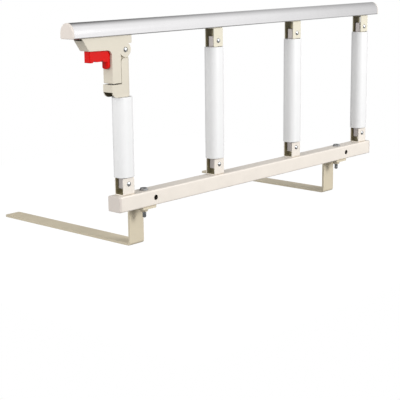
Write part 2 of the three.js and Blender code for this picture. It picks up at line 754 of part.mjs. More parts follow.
// Trigger: finger grip with two grooves, tail in front of the leg, and the slide bar that carries
// the lock bolt.
function triggerBody() {
  const half = triggerWidth / 2;
  const grip = topPinZ - triggerFront;
  const tail = topPinZ - triggerTail;
  const barTopZ = topPinZ + barTop;
  const barBottomZ = topPinZ + barBottom;
  const ridge = grip + grooveRidge;
  const halfGroove = grooveWidth / 2;
  const firstGroove = -triggerLeft + grooveInset;
  const secondGroove = firstGroove + groovePitch;
  const side = outline([
    [-triggerLeft, barTopZ],
    [-triggerLeft, grip, triggerEdge],
    [firstGroove - halfGroove, grip, triggerEdge],
    [firstGroove, grip + grooveDepth, triggerEdge],
    [firstGroove + halfGroove, ridge, triggerEdge],
    [secondGroove - halfGroove, ridge, triggerEdge],
    [secondGroove, grip + grooveDepth, triggerEdge],
    [secondGroove + halfGroove, grip, triggerEdge],
    [-triggerTailLeft - tailSlope, grip, triggerEdge],
    [-triggerTailLeft, tail, tailRound],
    [-triggerRight, tail, tailRound],
    [-triggerRight, barBottomZ],
    [-barRight, barBottomZ],
    [-barRight, barTopZ, triggerEdge],
  ]);
  const boltHole = circle(-lockBoltFromPin, 0, lockBoltDiameter / 2 + fitGap);
  const tailLeft = -triggerTailLeft - tailSlope;
  const tailRight = -triggerRight + overrun;
  const tailPlan = outline([
    [tailLeft, -half, tailFinger], [tailRight, -half], [tailRight, half], [tailLeft, half, tailFinger],
  ]);
  const aroundTail = block(tailLeft, tailRight, -triggerWidth, triggerWidth, tail - overrun, grip)
    .subtract(run("z", tailPlan, tail - 2 * overrun, grip + overrun));
  const fromLeft = outline([
    [-half, tail, tailTip], [half, tail, tailTip], [half, barTopZ + overrun], [-half, barTopZ + overrun],
  ]);
  return run("y", side, -half, half, triggerEdge / 2)
    .subtract(aroundTail)
    .intersect(run("x", fromLeft, -triggerLeft - overrun, overrun))
    .subtract(run("z", boltHole, barBottomZ - overrun, barTopZ + overrun));
}

// Lock bolt hung in the slide bar by its head, its point flush with the leg's underside.
function lockBolt() {
  const point = topPinZ - legBottom;
  const seat = topPinZ + barTop + seatGap;
  const shank = lockBoltDiameter / 2;
  return turned("z", [
    [0, point],
    [shank - passGap, point],
    [shank, point + passGap],
    [shank, seat],
    [lockHead / 2, seat],
    [lockHead / 2, seat + lockHeadHeight],
    [0, seat + lockHeadHeight],
  ], [-lockBoltFromPin, 0]);
}

// Coil spring between the lock bolt's head and the housing's web.
function triggerSpring() {
  const low = topPinZ + barTop + seatGap + lockHeadHeight + fitGap + springWire / 2;
  const high = railBottom - seatGap - housingWeb - fitGap - springWire / 2;
  const steps = springTurns * springStepsPerTurn;
  const positions = [];
  const ring = (k) => {
    const angle = (2 * Math.PI * k) / springStepsPerTurn;
    const centreZ = low + ((high - low) * k) / steps;
    for (let j = 0; j < springSides; j += 1) {
      const round = (2 * Math.PI * j) / springSides;
      const radius = springCoil / 2 + (springWire / 2) * Math.cos(round);
      const z = centreZ + (springWire / 2) * Math.sin(round);
      positions.push(-lockBoltFromPin + radius * Math.cos(angle), radius * Math.sin(angle), z);
    }
  };
  for (let k = 0; k <= steps; k += 1) ring(k);
  const faces = [];
  for (let k = 0; k < steps; k += 1) {
    for (let j = 0; j < springSides; j += 1) {
      const a = k * springSides + j;
      const b = k * springSides + ((j + 1) % springSides);
      faces.push(a, b, a + springSides, b, b + springSides, a + springSides);
    }
  }
  const last = steps * springSides;
  for (let j = 1; j < springSides - 1; j += 1) faces.push(0, j + 1, j, last, last + j, last + j + 1);
  const geometry = new THREE.BufferGeometry();
  geometry.setAttribute("position", new THREE.Float32BufferAttribute(positions, 3));
  geometry.setIndex(faces);
  const made = solid(geometry);
  return made.volume() < 0 ? solid(flipped(geometry)) : made;
}

function flipped(geometry) {
  const faces = [...geometry.index.array];
  for (let i = 0; i < faces.length; i += 3) [faces[i], faces[i + 1]] = [faces[i + 1], faces[i]];
  return geometry.clone().setIndex(faces);
}

// Base
add("base_tube", baseTube(), ivoryPaint);
add("base_cap_left", baseCap(), ivoryPlastic);
add("base_cap_right", mirrored(baseCap(), tubeLeft, tubeRight), ivoryPlastic);
["left", "right"].forEach((side, i) => {
  add(`support_arm_${side}`, supportArm(boltX[i]), armPaint);
  add(`arm_bolt_${side}`, armBolt(boltX[i]), brightSteel);
  add(`arm_nut_${side}`, armNut(boltX[i]), armPaint);
});

// Posts with their foot brackets and bottom rivets. The first post's sleeve is closed at the top.
const openEnd = bracketSwing + passGap - sleeveFromPin;
postX.forEach((x, i) => {
  const first = i === 0;
  const coreTop = first ? topPinZ - corePocketTop - fitGap : topPinZ + coreEnd;
  const sleeveTop = first ? topPinZ - headBottom - passGap : topPinZ - sleeveFromPin;
  const sleeve = postSleeve(x, footPinZ + sleeveFromPin, sleeveTop, openEnd, first ? 0 : openEnd);
  const pins = first ? [footPinZ] : [footPinZ, topPinZ];
  add(`foot_bracket_${i + 1}`, footBracket(x), ivoryPaint);
  add(`foot_rivet_${i + 1}`, pivotRivet(x, footPinZ), brightSteel);
  add(`post_core_${i + 1}`, postCore(x, footPinZ - coreEnd, coreTop, pins), millAluminium);
  add(`post_sleeve_${i + 1}`, sleeve, whitePlastic);
});
add("post_head", postHead(), castingPaint);
add("strike_plate", strikePlate(), brightSteel);

// Handrail with its brackets
add("handrail", railTube(), satinAluminium);
add("handrail_cap_left", railCap(), ivoryPlastic);
add("handrail_cap_right", mirrored(railCap(), railLeft, railRight), ivoryPlastic);
postX.slice(1).forEach((x, i) => {
  add(`top_bracket_${i + 2}`, topBracket(x), creamPaint);
  add(`top_rivet_${i + 2}`, pivotRivet(x, topPinZ), brightSteel);
  add(`bracket_screw_${i + 2}`, railScrew(x, railBottom - seatGap - bracketSheet), brightSteel);
});

// Latch
add("latch_housing", latchHousing(), castingPaint);
add("latch_rivet", pivotRivet(0, topPinZ), brightSteel);
add("housing_screw_left", railScrew(-housingScrewLeft, railBottom - seatGap - housingWeb), brightSteel);
add("housing_screw_right", railScrew(housingScrewRight, railBottom - seatGap - housingWeb), brightSteel);
add("trigger", triggerBody(), redPlastic);
add("lock_bolt", lockBolt(), brightSteel);
add("trigger_spring", triggerSpring(), springSteel);

// Origin at the middle of the box, on the surface that the arms rest on
model.position.set(-(railLeft + railRight) / 2, -(armEnd - frontReach) / 2, 0);

export default model;
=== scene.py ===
import functools
import json
import logging
import math
from collections.abc import Callable, Iterator, Sequence
from dataclasses import dataclass
from enum import Enum
from typing import ClassVar, NamedTuple, Self

import bmesh
import bpy
from mathutils import Matrix, Vector


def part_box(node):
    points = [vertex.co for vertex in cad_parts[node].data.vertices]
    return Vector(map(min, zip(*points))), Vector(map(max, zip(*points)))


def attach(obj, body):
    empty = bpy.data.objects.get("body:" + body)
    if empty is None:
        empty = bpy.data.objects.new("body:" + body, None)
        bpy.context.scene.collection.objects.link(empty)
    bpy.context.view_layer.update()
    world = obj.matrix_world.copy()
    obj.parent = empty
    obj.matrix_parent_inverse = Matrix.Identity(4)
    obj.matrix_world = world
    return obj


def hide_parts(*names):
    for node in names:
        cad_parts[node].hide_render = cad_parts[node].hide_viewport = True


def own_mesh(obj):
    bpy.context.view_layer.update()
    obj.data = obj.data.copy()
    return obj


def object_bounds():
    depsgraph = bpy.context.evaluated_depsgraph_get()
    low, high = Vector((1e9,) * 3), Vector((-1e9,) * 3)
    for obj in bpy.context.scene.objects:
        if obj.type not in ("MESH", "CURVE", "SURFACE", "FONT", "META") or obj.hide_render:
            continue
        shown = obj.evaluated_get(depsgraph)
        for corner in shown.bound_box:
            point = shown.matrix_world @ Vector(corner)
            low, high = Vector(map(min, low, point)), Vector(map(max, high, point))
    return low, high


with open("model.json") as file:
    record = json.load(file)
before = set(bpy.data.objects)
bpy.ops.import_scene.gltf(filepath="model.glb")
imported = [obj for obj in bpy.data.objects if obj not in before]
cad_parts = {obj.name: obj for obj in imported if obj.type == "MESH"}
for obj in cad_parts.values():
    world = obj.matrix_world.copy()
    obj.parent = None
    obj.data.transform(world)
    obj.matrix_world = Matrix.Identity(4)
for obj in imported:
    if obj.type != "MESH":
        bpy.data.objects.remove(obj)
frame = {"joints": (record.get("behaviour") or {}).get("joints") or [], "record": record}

Point = Sequence[float]  # x and y in the plane of an outline
Colour = tuple[float, float, float, float]
Inputs = dict[str | int, object]  # a value, number or colour for each socket that isn't left alone

CAD_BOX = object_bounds()
RECORD = frame["record"]
BODY_OF = {node: body for body, nodes in RECORD["behaviour"]["bodies"].items() for node in nodes}
SLOT_OF = {row["node"]: row["material_slot"] for row in RECORD["subparts"]}

MERGE = 1e-6  # points closer than this are one point
IN_PLANE = 1e-5  # points closer than this to a plane are in it
LOOK = 0.0003  # how far before a face its hollow is looked for
OVERRUN = 0.005  # how far a cutting shape runs past what it cuts
FLAT_ANGLE = math.radians(0.1)  # faces that turn less than this are one face
SHARP_ANGLE = math.radians(28)  # edges that turn more than this are eased
SHADE_ANGLE = math.radians(50)  # edges that turn more than this are shaded sharp
ARC_STEPS = 8  # facets of a rounded corner
ROUND_STEPS = 48  # facets of a full turn
SOFT = (0.3, 0.7)  # part of a noise that is stretched to the full range for soft clouds
FIRM = (0.35, 0.65)  # the same for firmer ones

log = logging.getLogger("guard_rail")


class Axis(Enum):
    """Axis that an outline is run along, with the directions of its x, its y and its depth."""

    X = ((0, 1, 0), (0, 0, 1), (1, 0, 0))
    Y = ((1, 0, 0), (0, 0, 1), (0, 1, 0))
    Z = ((1, 0, 0), (0, 1, 0), (0, 0, 1))

    @property
    def matrix(self) -> Matrix:
        """Takes outline space to the frame."""
        return Matrix(self.value).transposed().to_4x4()


class Side(Enum):
    """End of the rail."""

    LEFT = "left"
    RIGHT = "right"

    @property
    def way(self) -> int:
        """Direction along X from this end to the middle."""
        return 1 if self is Side.LEFT else -1


class Fold(Enum):
    """Which way a bracket's ears point from its web."""

    UP = 1
    DOWN = -1


class Corner(NamedTuple):
    """Corner of an outline, rounded by its radius."""

    x: float
    y: float
    radius: float = 0.0


def rectangle(centre: Point, width: float, height: float, radius: float = 0.0) -> list[Corner]:
    """Outline of a rectangle, anticlockwise, with round corners of one radius."""
    x, y = centre
    signs = ((-1, -1), (1, -1), (1, 1), (-1, 1))
    return [Corner(x + a * width / 2, y + b * height / 2, radius) for a, b in signs]


def slab(ends: Point, sides: Point, start_radius: float, end_radius: float) -> list[Corner]:
    """Outline of a rectangle with its own radius at each end.

    Args:
        ends: Where it starts and ends in x.
        sides: Where it starts and ends in y.
        start_radius: Radius of the two corners at its start in x.
        end_radius: Radius of the two at its end.

    Returns:
        Its corners, anticlockwise.
    """
    (start, end), (near, far) = ends, sides
    return [
        Corner(start, near, start_radius), Corner(end, near, end_radius),
        Corner(end, far, end_radius), Corner(start, far, start_radius),
    ]


def arc(centre: Point, radius: float, start: float, end: float, rise: float = 0.0) -> list[Corner]:
    """Points on an arc, or on an ellipse where its height differs from its radius.

    Args:
        centre: Middle of the arc.
        radius: Radius, along the outline's x for an ellipse.
        start: Angle of the first point, in degrees.
        end: Angle of the last point, in degrees.
        rise: Half height of an ellipse, or nothing for a circle.

    Returns:
        Unrounded corners in order.
    """
    steps = max(1, math.ceil(abs(end - start) / 360 * ROUND_STEPS))
    angles = [math.radians(start + (end - start) * k / steps) for k in range(steps + 1)]
    x, y = centre
    return [Corner(x + radius * math.cos(a), y + (rise or radius) * math.sin(a)) for a in angles]


def hexagon(across: float, centre: Point) -> list[Corner]:
    """Hexagon with flats across Y, so far across its flats."""
    radius = across / math.sqrt(3)
    angles = [math.radians(60 * k) for k in range(6)]
    return [Corner(centre[0] + radius * math.cos(a), centre[1] + radius * math.sin(a)) for a in angles]


def spread(middle: float, half: float) -> tuple[float, float]:
    """Ends of a run that reaches as far to both sides of a middle."""
    return middle - half, middle + half


def beyond(start: float, end: float) -> tuple[float, float]:
    """Ends of a cut that runs past both ends of what it cuts."""
    return start - OVERRUN, end + OVERRUN


class Section(NamedTuple):
    """Section of a box-shaped profile."""

    width: float
    depth: float
    corner: float

    def outline(self, centre: Point, inset: float = 0.0) -> list[Corner]:
        """The section round a centre, taken in by an inset."""
        return rectangle(centre, self.width - 2 * inset, self.depth - 2 * inset, self.corner - inset)


class Solid:
    """Closed shape in the making, held in one bmesh."""

    def __init__(self, mesh: bmesh.types.BMesh) -> None:
        """Keeps the bmesh."""
        self.mesh = mesh

    @classmethod
    def prism(cls, axis: Axis, corners: Sequence[Corner], start: float, end: float) -> Self:
        """Runs an outline along an axis.

        Args:
            axis: Direction of the run.
            corners: The outline, with its rounded corners.
            start: Where the run starts on the axis.
            end: Where it ends.

        Returns:
            The closed prism.
        """
        made = bmesh.new()
        verts = [made.verts.new((corner.x, corner.y, 0.0)) for corner in corners]
        made.faces.new(verts)
        for index, (vert, corner) in enumerate(zip(verts, corners)):
            if not corner.radius:
                continue
            here = Vector((corner.x, corner.y))
            before, after = corners[index - 1], corners[(index + 1) % len(corners)]
            half = (Vector((before.x, before.y)) - here).angle(Vector((after.x, after.y)) - here) / 2
            bmesh.ops.bevel(
                made, geom=[vert], offset=corner.radius / math.tan(half), offset_type="ABSOLUTE",
                affect="VERTICES", segments=ARC_STEPS, profile=0.5, material=-1, clamp_overlap=False,
            )
        grown = bmesh.ops.extrude_face_region(made, geom=made.faces[:])["geom"]
        far = [item for item in grown if isinstance(item, bmesh.types.BMVert)]
        bmesh.ops.translate(made, verts=far, vec=(0.0, 0.0, end - start))
        made.transform(axis.matrix @ Matrix.Translation((0.0, 0.0, start)))
        return cls(made)._cleaned()

    @classmethod
    def disc(cls, axis: Axis, centre: Point, radius: float, start: float, end: float) -> Self:
        """Makes a cylinder along an axis.

        Args:
            axis: Direction of the cylinder.
            centre: Where it crosses the outline's plane.
            radius: Its radius.
            start: Where it starts on the axis.
            end: Where it ends.

        Returns:
            The closed cylinder.
        """
        made = bmesh.new()
        bmesh.ops.create_cone(
            made, cap_ends=True, segments=ROUND_STEPS, radius1=radius, radius2=radius, depth=end - start
        )
        made.transform(axis.matrix @ Matrix.Translation((*centre, (start + end) / 2)))
        return cls(made)._cleaned()

    @classmethod
    def turned(cls, axis: Axis, centre: Point, profile: Sequence[Point]) -> Self:
        """Turns a profile about an axis.

        Args:
            axis: Direction of the axis.
            centre: Where the axis crosses the outline's plane.
            profile: Points of radius and distance along the axis, from the axis back to it.

        Returns:
            The closed turned shape.
        """
        made = bmesh.new()
        verts = [made.verts.new((radius, 0.0, along)) for radius, along in profile]
        edges = [made.edges.new(pair) for pair in zip(verts, verts[1:])]
        bmesh.ops.spin(
            made, geom=verts + edges, cent=(0, 0, 0), axis=(0, 0, 1), dvec=(0, 0, 0),
            angle=math.tau, steps=ROUND_STEPS, use_merge=True, use_duplicate=False,
        )
        made.transform(axis.matrix @ Matrix.Translation((*centre, 0.0)))
        return cls(made)._cleaned()

    @classmethod
    def coil(cls, centre: Point, section: Sequence[Point], low: float, high: float, turns: int) -> Self:
        """Winds a section upwards round a line along Z.

        Args:
            centre: X and Y of the line.
            section: Points of radius and height of the wire's section.
            low: Height of the section's origin at the lower end.
            high: Its height at the upper end.
            turns: Whole turns between the two.

        Returns:
            The closed coil.
        """
        made = bmesh.new()
        verts = [made.verts.new((radius, 0.0, along)) for radius, along in section]
        face = made.faces.new(verts)
        steps = turns * ROUND_STEPS
        bmesh.ops.spin(
            made, geom=[*verts, *face.edges, face], cent=(0, 0, 0), axis=(0, 0, 1),
            dvec=(0, 0, (high - low) / steps), angle=math.tau * turns, steps=steps, use_duplicate=False,
        )
        made.transform(Matrix.Translation((*centre, low)))
        return cls(made)._cleaned()

    def _cleaned(self) -> Self:
        """Merges points that coincide and turns all faces outwards."""
        bmesh.ops.remove_doubles(self.mesh, verts=self.mesh.verts[:], dist=MERGE)
        bmesh.ops.recalc_face_normals(self.mesh, faces=self.mesh.faces[:])
        return self

    def placed(self, name: str) -> bpy.types.Object:
        """Puts the shape in the scene at the origin.

        Args:
            name: Name of the object and its mesh.

        Returns:
            The object.
        """
        data = bpy.data.meshes.new(name)
        self.mesh.to_mesh(data)
        made = bpy.data.objects.new(name, data)
        bpy.context.scene.collection.objects.link(made)
        return made

    def _combined(self, other: "Solid", operation: str) -> "Solid":
        """Cuts or joins two shapes.

        Args:
            other: The second shape.
            operation: Name of the boolean operation.

        Returns:
            A new shape, with its flat faces whole.
        """
        first, second = self.placed("first"), other.placed("second")
        modifier = first.modifiers.new("Combine", "BOOLEAN")
        modifier.operation, modifier.solver, modifier.object = operation, "EXACT", second
        made = bmesh.new()
        made.from_object(first, bpy.context.evaluated_depsgraph_get())
        for used in (first, second):
            data = used.data
            bpy.data.objects.remove(used)
            bpy.data.meshes.remove(data)
        bmesh.ops.remove_doubles(made, verts=made.verts[:], dist=MERGE)
        bmesh.ops.dissolve_limit(
            made, angle_limit=FLAT_ANGLE, use_dissolve_boundaries=False,
            verts=made.verts[:], edges=made.edges[:],
        )
        return Solid(made)

    def __sub__(self, other: "Solid") -> "Solid":
        """Cuts the other shape out of this one."""
        return self._combined(other, "DIFFERENCE")

    def __add__(self, other: "Solid") -> "Solid":
        """Joins the other shape to this one."""
        return self._combined(other, "UNION")

    def __and__(self, other: "Solid") -> "Solid":
        """Keeps what both shapes share."""
        return self._combined(other, "INTERSECT")

    def eased(
        self, width: float, where: Callable[[bmesh.types.BMEdge], bool] | None = None, segments: int = 3
    ) -> Self:
        """Rounds the sharp edges.

        Args:
            width: Width of the rounding.
            where: Says which sharp edges are rounded, or nothing for all.
            segments: Facets across the rounding.

        Returns:
            The shape itself.
        """
        edges = [
            edge for edge in self.mesh.edges
            if edge.is_manifold and edge.calc_face_angle() > SHARP_ANGLE and (where is None or where(edge))
        ]
        bmesh.ops.bevel(
            self.mesh, geom=edges, offset=width, offset_type="OFFSET", affect="EDGES", segments=segments,
            profile=0.5, material=-1, clamp_overlap=True, loop_slide=True,
        )
        return self


def across_x(level: float) -> Callable[[bmesh.types.BMEdge], bool]:
    """Test for edges that lie in the plane across X at a level."""
    return lambda edge: all(abs(vert.co.x - level) < IN_PLANE for vert in edge.verts)


class Value:
    """Socket of a shader tree, with arithmetic that adds Math nodes."""

    def __init__(self, graph: "Graph", socket: bpy.types.NodeSocket | None) -> None:
        """Keeps the graph and the socket, which an output node doesn't have."""
        self.graph = graph
        self.socket = socket

    def _math(self, operation: str, first: "Value | float", second: "Value | float") -> "Value":
        """Adds a Math node on two values."""
        return self.graph.node("ShaderNodeMath", {"operation": operation}, {0: first, 1: second})

    def __add__(self, other: "Value | float") -> "Value":
        """Sum."""
        return self._math("ADD", self, other)

    def __sub__(self, other: "Value | float") -> "Value":
        """Difference."""
        return self._math("SUBTRACT", self, other)

    def __rsub__(self, other: float) -> "Value":
        """Difference from a number."""
        return self._math("SUBTRACT", other, self)

    def __mul__(self, other: "Value | float") -> "Value":
        """Product."""
        return self._math("MULTIPLY", self, other)

    __radd__ = __add__
    __rmul__ = __mul__


class Zone(NamedTuple):
    """Dark part of the world, which sets in at one measure of a direction and is full at another."""

    low: float
    high: float
    depth: float = 1.0  # share of the light that it takes where it is full


class Graph:
    """Shader tree of one material, world or stage surface."""

    def __init__(self, tree: bpy.types.NodeTree) -> None:
        """Empties the tree and keeps it."""
        tree.nodes.clear()
        self.tree = tree

    def node(self, kind: str, settings: dict[str, object], inputs: Inputs, output: str | int = 0) -> Value:
        """Adds a node.

        Args:
            kind: The node's type.
            settings: Its properties.
            inputs: What its sockets get.
            output: The output socket that is wanted.

        Returns:
            That output.
        """
        made = self.tree.nodes.new(kind)
        for name, setting in settings.items():
            setattr(made, name, setting)
        for name, given in inputs.items():
            if isinstance(given, Value):
                self.tree.links.new(given.socket, made.inputs[name])
            else:
                made.inputs[name].default_value = given
        return Value(self, made.outputs[output] if made.outputs else None)

    def mix(self, factor: Value | float, first: object, second: object) -> Value:
        """Blends two colours by a factor."""
        return self.node("ShaderNodeMix", {"data_type": "RGBA"}, {0: factor, 6: first, 7: second}, 2)

    def place(self, scale: tuple[float, float, float] = (1.0, 1.0, 1.0)) -> Value:
        """Object coordinates, stretched by a scale."""
        spot = self.node("ShaderNodeTexCoord", {}, {}, "Object")
        return self.node("ShaderNodeMapping", {}, {"Vector": spot, "Scale": scale})

    def noise(self, spot: Value, scale: float, detail: float = 2.0) -> Value:
        """Noise from 0 to 1 with so many features to the metre."""
        return self.node("ShaderNodeTexNoise", {}, {"Vector": spot, "Scale": scale, "Detail": detail})

    def between(self, value: Value, low: float, high: float) -> Value:
        """Stretches the part of a value from low to high to run from 0 to 1."""
        return self.node("ShaderNodeMapRange", {}, {"Value": value, "From Min": low, "From Max": high})

    def zone(self, measure: Value, zone: Zone) -> Value:
        """How far a measure is into a zone, times the zone's depth."""
        return self.between(measure, zone.low, zone.high) * zone.depth

    def bump(self, height: Value, depth: float) -> Value:
        """Normal from a height of 0 to 1 that stands for so many metres."""
        return self.node("ShaderNodeBump", {}, {"Distance": depth, "Height": height})


def grey(level: float) -> Colour:
    """Grey of a linear level."""
    return level, level, level, 1.0


def linear(hexadecimal: str, gain: float = 1.0) -> Colour:
    """Linear colour from six digits of an sRGB one, by the sRGB curve, times a gain."""
    parts = [int(hexadecimal[k:k + 2], 16) / 255 for k in (0, 2, 4)]
    light = [(c / 12.92 if c <= 0.04045 else ((c + 0.055) / 1.055) ** 2.4) * gain for c in parts]
    return (*light, 1.0)


@dataclass(frozen=True)
class Finish:
    """Surface finish of a material slot. Scales are in features to the metre, depths in metres."""

    slot: str
    colour: str
    roughness: float
    shade: float = 0.03  # how far broad patches darken
    patch: float = 35.0  # broad patches to the metre
    specular: float = 0.5

    @functools.cache
    def material(self) -> bpy.types.Material:
        """Makes the material once.

        Returns:
            The material, the same one each time.
        """
        made = bpy.data.materials.new(self.slot)
        made.use_nodes = True
        graph = Graph(made.node_tree)
        inputs = self.dress(graph) | {"Specular IOR Level": self.specular}
        shader = graph.node("ShaderNodeBsdfPrincipled", {}, inputs)
        graph.node("ShaderNodeOutputMaterial", {}, {"Surface": shader})
        return made

    def dress(self, graph: Graph) -> Inputs:
        """Adds the finish's nodes and returns the shader's inputs. Each kind of finish has its own."""
        raise NotImplementedError

    def patched(self, graph: Graph, fine: Value) -> Value:
        """Darkens the base colour a little in broad patches and in fine grain.

        Args:
            graph: The material's graph.
            fine: The grain, from 0 to 1.

        Returns:
            The base colour.
        """
        broad = graph.between(graph.noise(graph.place(), self.patch, 3.0), *FIRM)
        factor = broad * 0.5 + fine * 0.5
        return graph.mix(factor, linear(self.colour), linear(self.colour, 1.0 - self.shade * 2))


@dataclass(frozen=True)
class PowderCoat(Finish):
    """Baked powder paint on metal: peel in the normal, speckle in the colour, patches in the gloss."""

    peel: float = 700.0
    peel_depth: float = 0.00006
    speckle: float = 2600.0
    speckle_part: tuple[float, float] = (0.45, 0.75)  # part of it that is stretched to the full range
    play: float = 0.08  # how far the roughness varies

    def dress(self, graph: Graph) -> Inputs:
        """Adds the finish's nodes.

        Args:
            graph: The material's graph.

        Returns:
            Inputs of the shader.
        """
        spot = graph.place()
        peel = graph.noise(spot, self.peel)
        speckle = graph.between(graph.noise(spot, self.speckle, 1.0), *self.speckle_part)
        gloss = graph.between(graph.noise(spot, self.patch * 3), *SOFT)
        return {
            "Base Color": self.patched(graph, speckle),
            "Roughness": gloss * self.play + (self.roughness - self.play / 2),
            "Normal": graph.bump(peel, self.peel_depth),
        }


@dataclass(frozen=True)
class Moulding(Finish):
    """Moulded plastic: spark-eroded grain in the normal, flow lines in the colour, both in the gloss."""

    grain: float = 1500.0
    grain_depth: float = 0.00003
    flow: tuple[float, float, float] = (40.0, 40.0, 4.0)
    play: float = 0.06  # how far the roughness varies

    def dress(self, graph: Graph) -> Inputs:
        """Adds the finish's nodes.

        Args:
            graph: The material's graph.

        Returns:
            Inputs of the shader.
        """
        grain = graph.noise(graph.place(), self.grain, 1.0)
        flow = graph.between(graph.noise(graph.place(self.flow), 1.0), *FIRM)
        return {
            "Base Color": self.patched(graph, flow),
            "Roughness": flow * self.play + grain * self.play + (self.roughness - self.play),
            "Normal": graph.bump(grain, self.grain_depth),
        }


@dataclass(frozen=True)
class Extrusion(Finish):
    """Aluminium extrusion: die lines along its length in the normal, the gloss and the colour."""

    lines: tuple[float, float, float] = (3.0, 900.0, 900.0)
    line_depth: float = 0.00002
    play: float = 0.1  # how far the fine lines vary the roughness
    broad: float = 0.25  # scale of broad lines from the fine ones
    broad_play: float = 0.05
    polish: float = 0.08  # how far the lines' tops are smoother

    def dress(self, graph: Graph) -> Inputs:
        """Adds the finish's nodes.

        Args:
            graph: The material's graph.

        Returns:
            Inputs of the shader.
        """
        fine = graph.noise(graph.place(self.lines), 1.0, 3.0)
        broad = graph.between(graph.noise(graph.place(self.lines), self.broad), *SOFT)
        return {
            "Base Color": self.patched(graph, broad),
            "Roughness": fine * self.play + broad * self.broad_play + (self.roughness - self.polish),
            "Metallic": 1.0,
            "Normal": graph.bump(fine, self.line_depth),
        }


@dataclass(frozen=True)
class Plating(Finish):
    """Bright or drawn steel: fine grain in the normal and clouds in the colour and the gloss."""

    grain: float = 1200.0
    grain_depth: float = 0.00003
    cloud: float = 160.0
    play: float = 0.1  # how far the roughness varies

    def dress(self, graph: Graph) -> Inputs:
        """Adds the finish's nodes.

        Args:
            graph: The material's graph.

        Returns:
            Inputs of the shader.
        """
        grain = graph.noise(graph.place(), self.grain, 3.0)
        cloud = graph.between(graph.noise(graph.place(), self.cloud), *SOFT)
        return {
            "Base Color": self.patched(graph, cloud),
            "Roughness": cloud * self.play + (self.roughness - self.play / 2),
            "Metallic": 1.0,
            "Normal": graph.bump(grain, self.grain_depth),
        }


FINISHES: dict[str, Finish] = {
    made.slot: made
    for made in (
        PowderCoat("ivory_paint", "e9e1d7", 0.42),
        PowderCoat("casting_paint", "d3ccbc", 0.42),
        PowderCoat("arm_paint", "d6cbb3", 0.5),
        PowderCoat("cream_paint", "ddd7c4", 0.42),
        Moulding("ivory_plastic", "d9d0c8", 0.5),
        Moulding("white_plastic", "e8e8e8", 0.35, shade=0.012, flow=(200.0, 200.0, 3.0)),
        Moulding("red_plastic", "d60b07", 0.3, shade=0.05, specular=0.16),
        Extrusion("satin_aluminium", "dad9da", 0.15, shade=0.02),
        Extrusion("mill_aluminium", "b3adaa", 0.45, lines=(900.0, 900.0, 3.0)),
        Plating("bright_steel", "b4b6b8", 0.25),
        Plating("spring_steel", "8f9194", 0.3),
    )
}
# Painted shade: darker colours given to the faces inside the brackets' channels and the castings' hollows,
# where little light gets in.
SHEET_PAINTED_SHADE = PowderCoat("sheet_painted_shade", "a59a76", 0.6, shade=0.2, patch=260.0)
CAST_PAINTED_SHADE = PowderCoat("cast_painted_shade", "5a5039", 0.6, shade=0.2, patch=260.0)


def stand_for(node: str, solid: Solid) -> bpy.types.Object:
    """Shows a finished piece in place of a CAD node, on its body and in its finish.

    Args:
        node: Name of the CAD node.
        solid: The piece's shape.

    Returns:
        The piece, smooth where it is round and flat where it is flat.
    """
    piece = solid.placed(f"{node}_fine")
    piece.data.shade_smooth()
    piece.data.set_sharp_from_angle(angle=SHADE_ANGLE)
    weighted = piece.modifiers.new("Flat faces", "WEIGHTED_NORMAL")
    weighted.keep_sharp = True
    slot = SLOT_OF[node]
    piece.data.materials.append(FINISHES[slot].material())
    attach(piece, BODY_OF[node])
    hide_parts(node)
    log.info("%s on %s: %d faces", piece.name, BODY_OF[node], len(piece.data.polygons))
    return piece


def line(piece: bpy.types.Object, finish: Finish, low: Sequence[float], high: Sequence[float]) -> None:
    """Paints shade on the faces that look into a box, with a dark finish.

    Args:
        piece: The piece, already in its own finish.
        finish: The dark finish that stands for the shade.
        low: Lowest corner of the box, which is a hollow of the piece where shade falls.
        high: Highest corner.
    """
    piece.data.materials.append(finish.material())
    for face in piece.data.polygons:
        before = face.center + face.normal * LOOK
        if all(a < c < b for a, c, b in zip(low, before, high)):
            face.material_index = len(piece.data.materials) - 1


def centre_of(node: str) -> Vector:
    """Middle of a CAD node's box."""
    low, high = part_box(node)
    return (low + high) / 2


def plan_centre(low: Vector, high: Vector) -> tuple[float, float]:
    """Middle of a box in X and Y."""
    return (low.x + high.x) / 2, (low.y + high.y) / 2


@dataclass(frozen=True)
class Rivet:
    """Domed pivot rivet along Y, formed over at its far end."""

    shank: float = 0.003
    head: float = 0.0048
    height: float = 0.0026
    seat: float = 0.01185  # head's seat from the middle of the bracket
    dome: float = 83.0  # degrees up the dome to its flat top
    edge: float = 0.0003

    def build(self, node: str) -> None:
        """Turns the rivet.

        Args:
            node: The rivet's node.
        """
        centre = centre_of(node)
        dome = arc((0.0, self.seat), self.head, 0, self.dome, self.height)
        near = [*((corner.x, corner.y) for corner in dome), (0.0, self.seat + self.height)]
        far = [(radius, -along) for radius, along in reversed(near)]
        profile = [*far, (self.shank, -self.seat), (self.shank, self.seat), *near]
        turned = Solid.turned(Axis.Y, centre.xz, [(radius, along + centre.y) for radius, along in profile])
        stand_for(node, turned.eased(self.edge, segments=2))


